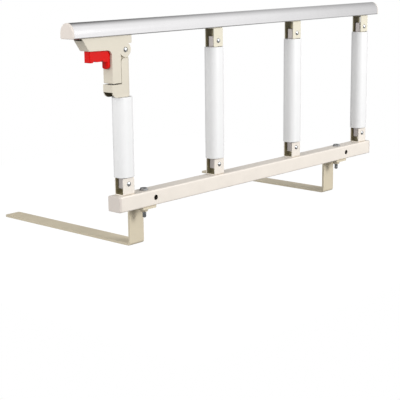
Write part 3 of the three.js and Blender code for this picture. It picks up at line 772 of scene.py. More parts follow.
@dataclass(frozen=True)
class RailScrew:
    """Pan-head screw driven up into the handrail, with a cross recess."""

    shank: float = 0.002
    head: float = 0.004
    height: float = 0.0024
    rim: float = 0.0008
    crown: float = 0.002
    shoulder: float = 0.85  # shoulder's radius from the head's
    shoulder_drop: float = 0.6  # its drop from the rim's
    slot_length: float = 0.0046
    slot_width: float = 0.0009
    slot_depth: float = 0.0013

    def build(self, node: str) -> None:
        """Turns the screw and cuts its recess.

        Args:
            node: The screw's node.
        """
        low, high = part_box(node)
        middle = centre_of(node).xy
        seat = low.z + self.height
        screw = Solid.turned(Axis.Z, middle, [
            (0.0, low.z), (self.crown, low.z),
            (self.head * self.shoulder, low.z + self.rim * self.shoulder_drop),
            (self.head, seat - self.rim), (self.head, seat), (self.shank, seat),
            (self.shank, high.z - self.shank), (0.0, high.z),
        ])
        for width, depth in ((self.slot_length, self.slot_width), (self.slot_width, self.slot_length)):
            bar = rectangle(middle, width, depth)
            screw -= Solid.prism(Axis.Z, bar, low.z - OVERRUN, low.z + self.slot_depth)
        stand_for(node, screw)


@dataclass(frozen=True)
class SupportArm:
    """Flat bar with a flange under the tube, a drop plate behind it and the arm under the mattress."""

    width: float = 0.038
    thickness: float = 0.0045
    bend: float = 0.0015
    corner: float = 0.004
    tube_width: float = 0.033
    plate: float = 0.0215  # drop plate's front from the tube's middle
    hole: float = 0.00225
    hole_pitch: float = 0.022
    hole_inset: float = 0.018
    bolt_hole: float = 0.0043
    edge: float = 0.0006

    def build(self, node: str) -> None:
        """Bends and drills the arm.

        Args:
            node: The arm's node.
        """
        low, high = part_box(node)
        middle = plan_centre(low, high)
        plate = low.y + self.tube_width / 2 + self.plate
        back = plate + self.thickness
        outer = self.bend + self.thickness
        bottom, top = low.z, high.z
        profile = [
            Corner(low.y, top - self.thickness), Corner(plate, top - self.thickness, self.bend),
            Corner(plate, bottom, outer), Corner(high.y, bottom), Corner(high.y, bottom + self.thickness),
            Corner(back, bottom + self.thickness, self.bend), Corner(back, top, outer), Corner(low.y, top),
        ]
        plan = rectangle(middle, self.width, high.y - low.y, self.corner)
        arm = Solid.prism(Axis.X, profile, *beyond(low.x, high.x))
        arm &= Solid.prism(Axis.Z, plan, *beyond(bottom, top))
        for x in spread(middle[0], self.hole_pitch / 2):
            hole = (x, high.y - self.hole_inset)
            arm -= Solid.disc(Axis.Z, hole, self.hole, bottom - OVERRUN, bottom + 2 * self.thickness)
        bolt = (middle[0], low.y + self.tube_width / 2)
        arm -= Solid.disc(Axis.Z, bolt, self.bolt_hole, top - 2 * self.thickness, top + OVERRUN)
        stand_for(node, arm.eased(self.edge))


@dataclass(frozen=True)
class ArmBolt:
    """Bolt with a dished hexagon head on a washer flange, threaded along its lower part."""

    shank: float = 0.004
    head: float = 0.0065
    height: float = 0.0044
    flange: float = 0.0085
    flange_height: float = 0.0016
    flange_edge: float = 0.0002
    dish: float = 0.0012
    dish_radius: float = 0.00475
    dish_floor: float = 0.8  # floor's share of the dish's radius and depth
    root: float = 0.00335
    pitch: float = 0.00125
    threads: int = 19
    foot: float = 0.47  # half of a thread's foot, in pitches
    crest: float = 0.08  # half of its crest, in pitches
    sink: float = 0.0004  # how far its foot is in the shank
    chamfer: float = 0.0008
    crown: float = 1.2  # drop of the head's corners, in chamfers

    def build(self, node: str) -> None:
        """Turns the bolt, cuts its hexagon and winds its thread.

        Args:
            node: The bolt's node.
        """
        low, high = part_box(node)
        middle = plan_centre(low, high)
        seat = high.z - self.height
        end = low.z + self.threads * self.pitch
        body = Solid.turned(Axis.Z, middle, [
            (0.0, low.z), (self.root - self.chamfer, low.z), (self.root, low.z + self.chamfer),
            (self.root, end + self.pitch), (self.shank, end + 2 * self.pitch), (self.shank, seat),
            (self.flange - self.flange_edge, seat), (self.flange, seat + self.flange_edge),
            (self.flange, seat + self.flange_height / 2), (self.head, seat + self.flange_height),
            (0.0, seat + self.flange_height),
        ])
        head = Solid.prism(Axis.Z, hexagon(2 * self.head, middle), seat + self.flange_height / 2, high.z)
        crown = Solid.turned(Axis.Z, middle, [
            (0.0, seat), (self.flange, seat), (self.flange, high.z - self.chamfer * self.crown),
            (self.head, high.z), (0.0, high.z),
        ])
        dish = Solid.turned(Axis.Z, middle, [
            (0.0, high.z - self.dish),
            (self.dish_radius * self.dish_floor, high.z - self.dish * self.dish_floor),
            (self.dish_radius, high.z), (self.dish_radius, high.z + OVERRUN), (0.0, high.z + OVERRUN),
        ])
        tooth = [
            (self.root - self.sink, -self.pitch * self.foot), (self.shank, -self.pitch * self.crest),
            (self.shank, self.pitch * self.crest), (self.root - self.sink, self.pitch * self.foot),
        ]
        thread = Solid.coil(middle, tooth, low.z + self.pitch, end, self.threads - 1)
        stand_for(node, body + (head & crown) - dish + thread)


@dataclass(frozen=True)
class ArmNut:
    """Flange nut under the arm's flange."""

    across: float = 0.013
    flange: float = 0.0085
    flange_height: float = 0.0018
    bore: float = 0.0043
    chamfer: float = 0.0009
    cone_in: float = 0.3  # how far its cone is in from the flats, in chamfers
    cone_rise: float = 1.4  # how high the cone is at the flange's radius, in chamfers
    edge: float = 0.00025

    def build(self, node: str) -> None:
        """Turns the flange, chamfers the hexagon and drills the bore.

        Args:
            node: The nut's node.
        """
        low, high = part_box(node)
        middle = plan_centre(low, high)
        flange = Solid.turned(Axis.Z, middle, [
            (0.0, high.z - self.flange_height), (self.across / 2, high.z - self.flange_height),
            (self.flange, high.z - self.flange_height / 2), (self.flange, high.z), (0.0, high.z),
        ])
        flats = Solid.prism(Axis.Z, hexagon(self.across, middle), low.z, high.z - self.flange_height / 2)
        cone = Solid.turned(Axis.Z, middle, [
            (0.0, low.z), (self.across / 2 - self.chamfer * self.cone_in, low.z),
            (self.flange, low.z + self.chamfer * self.cone_rise), (self.flange, high.z), (0.0, high.z),
        ])
        bore = Solid.disc(Axis.Z, middle, self.bore, *beyond(low.z, high.z))
        stand_for(node, ((flats & cone) + flange - bore).eased(self.edge, segments=2))


@dataclass(frozen=True)
class Bracket:
    """U-shaped bracket folded from sheet."""

    fold: Fold
    width: float = 0.0235
    sheet: float = 0.002
    fold_radius: float = 0.003
    corner: float = 0.002
    rivet_hole: float = 0.0033
    screw_hole: float = 0.0023
    edge: float = 0.0004

    def build(self, node: str, pin: Vector) -> None:
        """Folds, trims and drills the bracket.

        Args:
            node: The bracket's node.
            pin: Middle of its rivet.
        """
        low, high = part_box(node)
        way = self.fold.value
        web, ears = (low.z, high.z) if self.fold is Fold.UP else (high.z, low.z)
        near, far = spread(pin.y, self.width / 2)
        inner_near, inner_far = spread(pin.y, self.width / 2 - self.sheet)
        floor, past = web + way * self.sheet, ears + way * OVERRUN
        inner = self.fold_radius - self.sheet
        channel = [
            Corner(near, past), Corner(near, web, self.fold_radius),
            Corner(far, web, self.fold_radius), Corner(far, past),
            Corner(inner_far, past), Corner(inner_far, floor, inner),
            Corner(inner_near, floor, inner), Corner(inner_near, past),
        ]
        side = [
            Corner(low.x, web), Corner(low.x, ears, self.corner), Corner(high.x, ears, self.corner),
            Corner(high.x, web),
        ]
        reach = spread(pin.y, self.width)
        bent = Solid.prism(Axis.X, channel, *beyond(low.x, high.x))
        bent &= Solid.prism(Axis.Y, side, *reach)
        bent -= Solid.disc(Axis.Y, pin.xz, self.rivet_hole, *reach)
        if self.fold is Fold.DOWN:
            bent -= Solid.disc(Axis.Z, pin.xy, self.screw_hole, web - 2 * self.sheet, web + OVERRUN)
        piece = stand_for(node, bent.eased(self.edge))
        bottom, top = sorted((floor, past))
        # Paints shade on the faces inside the channel.
        line(piece, SHEET_PAINTED_SHADE, (low.x, inner_near, bottom), (high.x, inner_far, top))


@dataclass(frozen=True)
class TubeCap:
    """End plug of a tube: a plate with a rounded outer edge and a hollow plug."""

    plate: float
    edge: float
    plug: float = 0.002

    def build(self, side: Side, node: str, outlines: Callable[[float], list[Corner]], inset: float) -> None:
        """Makes the cap for one end.

        Args:
            side: Which end.
            node: The cap's node.
            outlines: The tube's outline in Y and Z, taken in by an inset.
            inset: How far the plug stands in from the tube's outside.
        """
        low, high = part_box(node)
        outer, inner = (low.x, high.x) if side is Side.LEFT else (high.x, low.x)
        join = outer + side.way * self.plate
        cap = Solid.prism(Axis.X, outlines(0.0), *sorted((outer, join)))
        cap = cap.eased(self.edge, across_x(outer), segments=6)
        plug = Solid.prism(Axis.X, outlines(inset), *sorted((join, inner)))
        hollow = sorted((join, inner + side.way * OVERRUN))
        plug -= Solid.prism(Axis.X, outlines(inset + self.plug), *hollow)
        stand_for(node, cap + plug)


@dataclass(frozen=True)
class BaseFrame:
    """Base tube with its caps, arms, arm bolts and foot brackets."""

    width: float = 0.033
    height: float = 0.030
    corner: float = 0.003
    wall: float = 0.0015
    fit: float = 0.0003
    edge: float = 0.0003
    bolt_hole: float = 0.0043
    side_hole: float = 0.00525
    side_hole_from_bolt: float = 0.0167
    cap: TubeCap = TubeCap(plate=0.004, edge=0.0013)

    def outline(self, inset: float) -> list[Corner]:
        """The tube's outline in Y and Z, taken in by an inset."""
        middle, radius = centre_of("base_tube").yz, max(self.corner - inset, self.corner - self.wall)
        return rectangle(middle, self.width - 2 * inset, self.height - 2 * inset, radius)

    def tube(self) -> Solid:
        """Makes the tube.

        Returns:
            The tube with the arm bolts' holes and the side holes.
        """
        low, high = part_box("base_tube")
        made = Solid.prism(Axis.X, self.outline(0.0), low.x, high.x)
        made -= Solid.prism(Axis.X, self.outline(self.wall), *beyond(low.x, high.x))
        for side in Side:
            bolt = centre_of(f"arm_bolt_{side.value}")
            beside = (bolt.x + self.side_hole_from_bolt, (low.z + high.z) / 2)
            made -= Solid.disc(Axis.Z, bolt.xy, self.bolt_hole, *beyond(low.z, high.z))
            made -= Solid.disc(Axis.Y, beside, self.side_hole, *beyond(low.y, high.y))
        return made.eased(self.edge, segments=2)

    def build(self) -> None:
        """Builds everything on the base."""
        stand_for("base_tube", self.tube())
        for side in Side:
            self.cap.build(side, f"base_cap_{side.value}", self.outline, self.wall + self.fit)
            SupportArm().build(f"support_arm_{side.value}")
            ArmBolt().build(f"arm_bolt_{side.value}")
            ArmNut().build(f"arm_nut_{side.value}")
        for number in range(1, Post.COUNT + 1):
            Bracket(Fold.UP).build(f"foot_bracket_{number}", centre_of(f"foot_rivet_{number}"))
            Rivet().build(f"foot_rivet_{number}")


@dataclass(frozen=True)
class Post:
    """Aluminium post with its moulded sleeve."""

    COUNT: ClassVar[int] = 4
    section: Section = Section(0.020, 0.0155, 0.004)
    wall: float = 0.0017
    boss: float = 0.0035
    boss_hole: float = 0.0018
    rivet_hole: float = 0.0033
    edge: float = 0.0002
    fit: float = 0.0003
    sleeve_section: Section = Section(0.038, 0.033, 0.0145)
    sleeve_wall: float = 0.0016
    sleeve_open: float = 0.0057  # depth of an open end, down to the inner wall
    inner_wall: float = 0.003
    sleeve_edge: float = 0.001

    def core(self, number: int) -> Solid:
        """Makes the hollow extrusion, with a screw boss in its web.

        Args:
            number: Which post, from 1.

        Returns:
            The extrusion, drilled for its rivets.
        """
        low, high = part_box(f"post_core_{number}")
        middle = plan_centre(low, high)
        ends = beyond(low.z, high.z)
        hollow = Solid.prism(Axis.Z, self.section.outline(middle, self.wall), *ends)
        hollow -= Solid.prism(Axis.Z, rectangle(middle, self.wall, self.section.depth), *beyond(*ends))
        hollow -= Solid.disc(Axis.Z, middle, self.boss, *beyond(*ends))
        made = Solid.prism(Axis.Z, self.section.outline(middle), low.z, high.z) - hollow
        made -= Solid.disc(Axis.Z, middle, self.boss_hole, *ends)
        for rivet in ("foot_rivet", "top_rivet") if number > 1 else ("foot_rivet",):
            pin = centre_of(f"{rivet}_{number}").xz
            made -= Solid.disc(Axis.Y, pin, self.rivet_hole, *beyond(low.y, high.y))
        return made.eased(self.edge, segments=1)

    def sleeve(self, number: int) -> Solid:
        """Makes the thin tube, with two inner walls that fit round the core.

        Args:
            number: Which post, from 1.

        Returns:
            The sleeve, which is closed on top for the first post.
        """
        low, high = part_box(f"post_sleeve_{number}")
        middle = plan_centre(low, high)
        inside = self.sleeve_section.outline(middle, self.sleeve_wall)
        bottom, top = low.z + self.sleeve_open, high.z - (self.sleeve_open if number > 1 else 0.0)
        shell = Solid.prism(Axis.Z, self.sleeve_section.outline(middle), low.z, high.z)
        shell = shell.eased(self.sleeve_edge, segments=5)
        shell -= Solid.prism(Axis.Z, inside, bottom + self.inner_wall, top - self.inner_wall)
        shell -= Solid.prism(Axis.Z, inside, low.z - OVERRUN, bottom)
        if number > 1:
            shell -= Solid.prism(Axis.Z, inside, top, high.z + OVERRUN)
        bore = self.section.outline(middle, -self.fit)
        return shell - Solid.prism(Axis.Z, bore, *beyond(low.z, high.z))

    def build(self) -> None:
        """Builds every post's core and sleeve."""
        for number in range(1, self.COUNT + 1):
            stand_for(f"post_core_{number}", self.core(number))
            stand_for(f"post_sleeve_{number}", self.sleeve(number))


@dataclass(frozen=True)
class Handrail:
    """D-shaped extrusion with its caps, top brackets, rivets and screws."""

    width: float = 0.0335
    side: float = 0.009
    wall: float = 0.0018
    corner: float = 0.0025
    fit: float = 0.0003
    screw_hole: float = 0.0023
    cap: TubeCap = TubeCap(plate=0.0035, edge=0.0012)

    def outline(self, inset: float) -> list[Corner]:
        """Outline of the rail with its arched top.

        Args:
            inset: How far it is taken in.

        Returns:
            Its corners in Y and Z.
        """
        low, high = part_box("handrail")
        middle = (low.y + high.y) / 2
        half = self.width / 2 - inset
        spring, base = low.z + self.side, low.z + inset
        radius = max(self.corner - inset, 0.0)
        arch = arc((middle, spring), half, 0, 180, high.z - spring - inset)
        return [*(Corner(y, base, radius) for y in spread(middle, half)), *arch]

    def rail(self) -> Solid:
        """Makes the extrusion.

        Returns:
            The extrusion with the screws' holes in its underside.
        """
        low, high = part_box("handrail")
        made = Solid.prism(Axis.X, self.outline(0.0), low.x, high.x)
        made -= Solid.prism(Axis.X, self.outline(self.wall), *beyond(low.x, high.x))
        screws = [f"housing_screw_{side.value}" for side in Side]
        screws += [f"bracket_screw_{number}" for number in range(2, Post.COUNT + 1)]
        hole = (low.z - OVERRUN, low.z + 2 * self.wall)
        for screw in screws:
            made -= Solid.disc(Axis.Z, centre_of(screw).xy, self.screw_hole, *hole)
        return made

    def build(self) -> None:
        """Builds everything on the handrail but the latch."""
        stand_for("handrail", self.rail())
        for side in Side:
            self.cap.build(side, f"handrail_cap_{side.value}", self.outline, self.wall + self.fit)
        for number in range(2, Post.COUNT + 1):
            Bracket(Fold.DOWN).build(f"top_bracket_{number}", centre_of(f"top_rivet_{number}"))
            Rivet().build(f"top_rivet_{number}")
            RailScrew().build(f"bracket_screw_{number}")


class OnPin:
    """Pieces whose places are given from the latch's pin, which is the first post's top pin."""

    @property
    def pin(self) -> Vector:
        """Middle of the latch's pin."""
        return centre_of("latch_rivet")


@dataclass(frozen=True)
class PostHead(OnPin):
    """Head casting of the first post, with its knuckle, column and latch foot, and the strike plate."""

    width: float = 0.0245
    left: float = 0.0112
    right: float = 0.0118
    top: float = 0.0154
    top_corner: float = 0.007
    side_corner: float = 0.008
    foot_left: float = 0.0355
    foot_top: float = 0.062
    foot_round: float = 0.0125
    foot_hollow: float = 0.010  # height of the hollow under the foot
    foot_wall: float = 0.0026  # beside the hollow
    edge: float = 0.0012
    knuckle: float = 0.011
    knuckle_width: float = 0.0157
    knuckle_edge: float = 0.0006
    pocket_top: float = 0.018
    strike_side: float = 0.017
    strike_corner: float = 0.0015
    strike_thickness: float = 0.003
    strike_hole: float = 0.0045
    strike_edge: float = 0.0003
    well: float = 0.012
    lock_bolt: float = 0.0225
    rivet_hole: float = 0.0033
    fit: float = 0.0003

    def casting(self) -> Solid:
        """Makes the casting.

        Returns:
            The casting before it is hollowed.
        """
        pin, bottom = self.pin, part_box("post_head")[0].z
        sides = spread(pin.y, self.width / 2)
        column_top, ledge = pin.z - self.top, pin.z - self.foot_top
        left, right = pin.x - self.left, pin.x + self.right
        side = [
            Corner(left, bottom), Corner(right, bottom), Corner(right, column_top, self.edge),
            Corner(left, column_top, self.top_corner),
        ]
        foot = [
            Corner(pin.x - self.foot_left, ledge), Corner(pin.x - self.foot_left, bottom, self.foot_round),
            Corner(pin.x, bottom), Corner(pin.x, ledge),
        ]
        root = column_top - self.top_corner
        knuckle = [
            *arc(pin.xz, self.knuckle, 0, 180), *(Corner(x, root) for x in spread(pin.x, self.knuckle)),
        ]
        plan = slab((left, right), sides, 0.0, self.side_corner)
        made = Solid.prism(Axis.Z, plan, *beyond(bottom, column_top))
        made &= Solid.prism(Axis.Y, side, *spread(pin.y, self.width))
        made += Solid.prism(Axis.Y, foot, *sides)
        made = made.eased(self.edge)
        tongue = Solid.prism(Axis.Y, knuckle, *spread(pin.y, self.knuckle_width / 2))
        return made + tongue.eased(self.knuckle_edge)

    def build(self) -> None:
        """Builds the casting, with its pocket, seat and well, and the strike plate."""
        pin, bottom = self.pin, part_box("post_head")[0].z
        strike = (pin.x - self.lock_bolt, pin.y)
        ledge, hollow_top = pin.z - self.foot_top, bottom + self.foot_hollow
        left, right = pin.x - self.foot_left, pin.x - self.left - self.foot_wall
        past = left - OVERRUN
        hollow = rectangle(((past + right) / 2, pin.y), right - past, self.width - 2 * self.foot_wall)
        wide = self.strike_side + 2 * self.fit
        seat = rectangle(strike, wide, wide, self.strike_corner)
        seat_floor = ledge - self.strike_thickness - self.fit / 3
        pocket = Post().section.outline(pin.xy, -self.fit)
        made = self.casting()
        made -= Solid.prism(Axis.Z, pocket, bottom - OVERRUN, pin.z - self.pocket_top)
        made -= Solid.prism(Axis.Z, seat, seat_floor, ledge + OVERRUN)
        made -= Solid.disc(Axis.Z, strike, self.strike_hole, ledge - self.well, ledge)
        made -= Solid.prism(Axis.Z, hollow, bottom - OVERRUN, hollow_top)
        made -= Solid.disc(Axis.Y, pin.xz, self.rivet_hole, *spread(pin.y, self.width))
        piece = stand_for("post_head", made)
        # Paints shade into the hollow under the foot.
        near, far = spread(pin.y, self.width / 2 - self.foot_wall)
        line(piece, CAST_PAINTED_SHADE, (left, near, bottom), (right, far, hollow_top))
        plate = rectangle(strike, self.strike_side, self.strike_side, self.strike_corner)
        made = Solid.prism(Axis.Z, plate, ledge - self.strike_thickness, ledge)
        made -= Solid.disc(Axis.Z, strike, self.strike_hole, bottom, ledge + OVERRUN)
        stand_for("strike_plate", made.eased(self.strike_edge))


@dataclass(frozen=True)
class Latch(OnPin):
    """Housing under the handrail's left end, with its fasteners."""

    width: float = 0.0245
    cheek: float = 0.004
    web: float = 0.003
    nose_top: float = 0.1053
    nose_bottom: float = 0.0888
    nose_wall: float = 0.0035
    nose_gap: float = 0.0042
    nose_cheek: float = 0.0022
    underside_left: float = 0.0024
    underside_right: float = 0.001
    grip_corner: float = 0.010
    leg_left: float = 0.034
    leg_right: float = 0.0118
    leg_wall: float = 0.003
    leg_edge: float = 0.002
    leg_floor: float = 0.005
    lobe: float = 0.0138
    right: float = 0.0163
    flange_underside: float = 0.0113
    flange_corner: float = 0.0015
    edge: float = 0.0009
    rivet_seat: float = 0.0056
    rivet_hole: float = 0.0033
    bracket_width: float = 0.0235
    bolt_hole: float = 0.0038
    screw_hole: float = 0.0023

    def profile(self, top: float, bottom: float) -> list[Corner]:
        """Side outline of the housing.

        Args:
            top: Its highest level.
            bottom: Its lowest level.

        Returns:
            Its corners in X and Z.
        """
        pin = self.pin
        right, flange = pin.x + self.right, pin.z + self.flange_underside
        start = math.degrees(math.asin(self.flange_underside / self.lobe))
        end = -180 + math.degrees(math.acos(self.leg_right / self.lobe))
        return [
            Corner(pin.x - self.nose_top, top),
            Corner(pin.x - self.nose_bottom, pin.z + self.underside_left, self.leg_edge / 2),
            Corner(pin.x - self.leg_left, pin.z + self.underside_right, self.grip_corner),
            Corner(pin.x - self.leg_left, bottom, self.leg_edge), Corner(pin.x - self.leg_right, bottom),
            *arc(pin.xz, self.lobe, end, start),
            Corner(right, flange, self.flange_corner), Corner(right, top),
        ]

    def hollows(self, top: float, bottom: float) -> Iterator[Solid]:
        """Makes the space between the cheeks, and the mouth in the nose wall.

        Args:
            top: The housing's highest level.
            bottom: Its lowest level.

        Yields:
            The two shapes to be cut out.
        """
        pin = self.pin
        under = pin.z + self.underside_left
        slope = (self.nose_top - self.nose_bottom) / (top - under)
        past = pin.z - self.lobe - OVERRUN
        floor, ceiling, right = bottom + self.leg_floor, top - self.web, pin.x + self.right + OVERRUN
        leg_inside, leg_outside = pin.x - self.leg_left + self.leg_wall, pin.x - self.leg_right + OVERRUN
        nose, shelf = pin.x - self.nose_top + self.nose_wall, under - self.grip_corner
        inner = [
            Corner(nose + slope * self.web, ceiling),
            Corner(pin.x - self.nose_bottom + self.nose_wall + slope * self.grip_corner, shelf),
            Corner(leg_inside, shelf), Corner(leg_inside, floor), Corner(leg_outside, floor),
            Corner(leg_outside, past), Corner(right, past), Corner(right, ceiling),
        ]
        wall = (pin.x - self.nose_top - OVERRUN, nose + self.nose_gap + slope * OVERRUN)
        mouth = slab(wall, (top - self.nose_gap, top + OVERRUN), 0.0, 0.0)
        yield Solid.prism(Axis.Y, inner, *spread(pin.y, self.width / 2 - self.cheek))
        yield Solid.prism(Axis.Y, mouth, *spread(pin.y, self.width / 2 - self.nose_cheek))

    def housing(self) -> Solid:
        """Makes the housing.

        Returns:
            The housing, hollowed and drilled.
        """
        pin = self.pin
        low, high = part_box("latch_housing")
        made = Solid.prism(Axis.Y, self.profile(high.z, low.z), *spread(pin.y, self.width / 2))
        made = made.eased(self.edge)
        for hollow in self.hollows(high.z, low.z):
            made -= hollow
        floor = beyond(low.z, low.z + self.leg_floor)
        made -= Solid.disc(Axis.Z, centre_of("lock_bolt").xy, self.bolt_hole, *floor)
        near, far = spread(pin.y, self.width)
        near_seat, far_seat = spread(pin.y, self.bracket_width / 2)
        made -= Solid.disc(Axis.Y, pin.xz, self.rivet_hole, near, far)
        made -= Solid.disc(Axis.Y, pin.xz, self.rivet_seat, far_seat, far)
        made -= Solid.disc(Axis.Y, pin.xz, self.rivet_seat, near, near_seat)
        for side in Side:
            screw = centre_of(f"housing_screw_{side.value}").xy
            made -= Solid.disc(Axis.Z, screw, self.screw_hole, high.z - 2 * self.web, high.z + OVERRUN)
        return made

    def build(self) -> None:
        """Builds the housing and its fasteners."""
        pin = self.pin
        piece = stand_for("latch_housing", self.housing())
        low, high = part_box("latch_housing")
        mouth, inside = self.width / 2 - self.nose_cheek, self.width / 2 - self.cheek
        right, under = pin.x - self.leg_left + self.leg_wall, pin.z + self.underside_left
        gap, left = high.z - self.nose_gap, pin.x - self.nose_bottom + self.nose_wall
        # Paints shade into the nose's mouth and the space between the cheeks.
        line(piece, CAST_PAINTED_SHADE, (low.x, pin.y - mouth, gap), (right, pin.y + mouth, high.z))
        line(piece, CAST_PAINTED_SHADE, (left, pin.y - inside, under), (right, pin.y + inside, high.z - self.web))
        Rivet().build("latch_rivet")
        for side in Side:
            RailScrew().build(f"housing_screw_{side.value}")


@dataclass(frozen=True)
class Trigger(OnPin):
    """Finger trigger with its lock bolt and spring."""

    width: float = 0.0155
    left: float = 0.0843
    right: float = 0.0352
    front: float = 0.019
    tail: float = 0.0333
    tail_left: float = 0.041
    tail_slope: float = 0.0034
    tail_round: float = 0.0028
    tail_tip: float = 0.0074
    tail_finger: float = 0.0074
    groove_depth: float = 0.0038
    groove_ridge: float = 0.001
    groove_width: float = 0.0085
    groove_inset: float = 0.0113
    groove_pitch: float = 0.019
    edge: float = 0.002
    end_edge: float = 0.0026  # rounding of the grip's upright edges at its left end
    ease: float = 0.0014
    bar_bottom: float = 0.0042
    bar_top: float = 0.009
    bar_right: float = 0.015
    bolt: float = 0.0035
    bolt_head: float = 0.005
    bolt_edge: float = 0.0003
    head_height: float = 0.002
    point: float = 0.0008
    fit: float = 0.0003
    wire: float = 0.00045
    coil: float = 0.0038
    turns: int = 3
    wire_sides: int = 12

    def side(self) -> list[Corner]:
        """Side outline, with its two finger grooves.

        Returns:
            Its corners in X and Z.
        """
        pin = self.pin
        x, grip, tail = pin.x, pin.z - self.front, pin.z - self.tail
        bar_top, bar_bottom = pin.z + self.bar_top, pin.z + self.bar_bottom
        reach = self.groove_width / 2
        ridge, groove = grip + self.groove_ridge, grip + self.groove_depth
        first = x - self.left + self.groove_inset
        second = first + self.groove_pitch
        grooves = [
            Corner(first - reach, grip, self.edge), Corner(first, groove, self.edge),
            Corner(first + reach, ridge, self.edge), Corner(second - reach, ridge, self.edge),
            Corner(second, groove, self.edge), Corner(second + reach, grip, self.edge),
        ]
        return [
            Corner(x - self.left, bar_top), Corner(x - self.left, grip, self.edge), *grooves,
            Corner(x - self.tail_left - self.tail_slope, grip, self.edge),
            Corner(x - self.tail_left, tail, self.tail_round), Corner(x - self.right, tail, self.tail_round),
            Corner(x - self.right, bar_bottom), Corner(x - self.bar_right, bar_bottom),
            Corner(x - self.bar_right, bar_top, self.edge),
        ]

    def body(self) -> Solid:
        """Makes the grip, the tail and the slide bar, rounded for fingers.

        Returns:
            The trigger's body without its bore.
        """
        pin = self.pin
        x, tail, grip, high = pin.x, pin.z - self.tail, pin.z - self.front, pin.z + self.bar_top + OVERRUN
        near, far = sides = spread(pin.y, self.width / 2)
        left, right = x - self.tail_left - self.tail_slope, x - self.right + OVERRUN
        made = Solid.prism(Axis.Y, self.side(), *sides)
        plan = slab((left, right), sides, self.tail_finger, 0.0)
        block = rectangle(((left + right) / 2, pin.y), right - left, 2 * self.width)
        around = Solid.prism(Axis.Z, block, tail - OVERRUN, grip)
        made -= around - Solid.prism(Axis.Z, plan, tail - 2 * OVERRUN, grip + OVERRUN)
        end = [
            Corner(near, tail, self.tail_tip), Corner(far, tail, self.tail_tip),
            Corner(far, high), Corner(near, high),
        ]
        made &= Solid.prism(Axis.X, end, x - self.left - OVERRUN, x)
        grips = slab((x - self.left, x), sides, self.end_edge, 0.0)
        made &= Solid.prism(Axis.Z, grips, tail - OVERRUN, high)
        return made.eased(self.ease, segments=4)

    def build(self) -> None:
        """Builds the trigger, the lock bolt and the spring, and works out the share of the spring's length
        kept when the trigger is squeezed.
        """
        place = centre_of("lock_bolt").xy
        low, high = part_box("lock_bolt")
        bar = beyond(self.pin.z + self.bar_bottom, self.pin.z + self.bar_top)
        stand_for("trigger", self.body() - Solid.disc(Axis.Z, place, self.bolt + self.fit, *bar))
        seat = high.z - self.head_height
        bolt = Solid.turned(Axis.Z, place, [
            (0.0, low.z), (self.bolt - self.point, low.z), (self.bolt, low.z + self.point),
            (self.bolt, seat), (self.bolt_head, seat), (self.bolt_head, high.z), (0.0, high.z),
        ])
        stand_for("lock_bolt", bolt.eased(self.bolt_edge))
        low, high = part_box("trigger_spring")
        angles = [math.tau * k / self.wire_sides for k in range(self.wire_sides)]
        section = [(self.coil + self.wire * math.cos(a), self.wire * math.sin(a)) for a in angles]
        spring = Solid.coil(place, section, low.z + self.wire, high.z - self.wire, self.turns)
        piece = stand_for("trigger_spring", spring)
        travel = next(joint for joint in frame["joints"] if joint["name"] == "squeeze")["range_m"][1]
        keep = 1.0 - travel / (high.z - low.z)
        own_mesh(piece)


class SoftBox(NamedTuple):
    """Square lamp."""

    place: tuple[float, float, float]
    size: float
    power: float


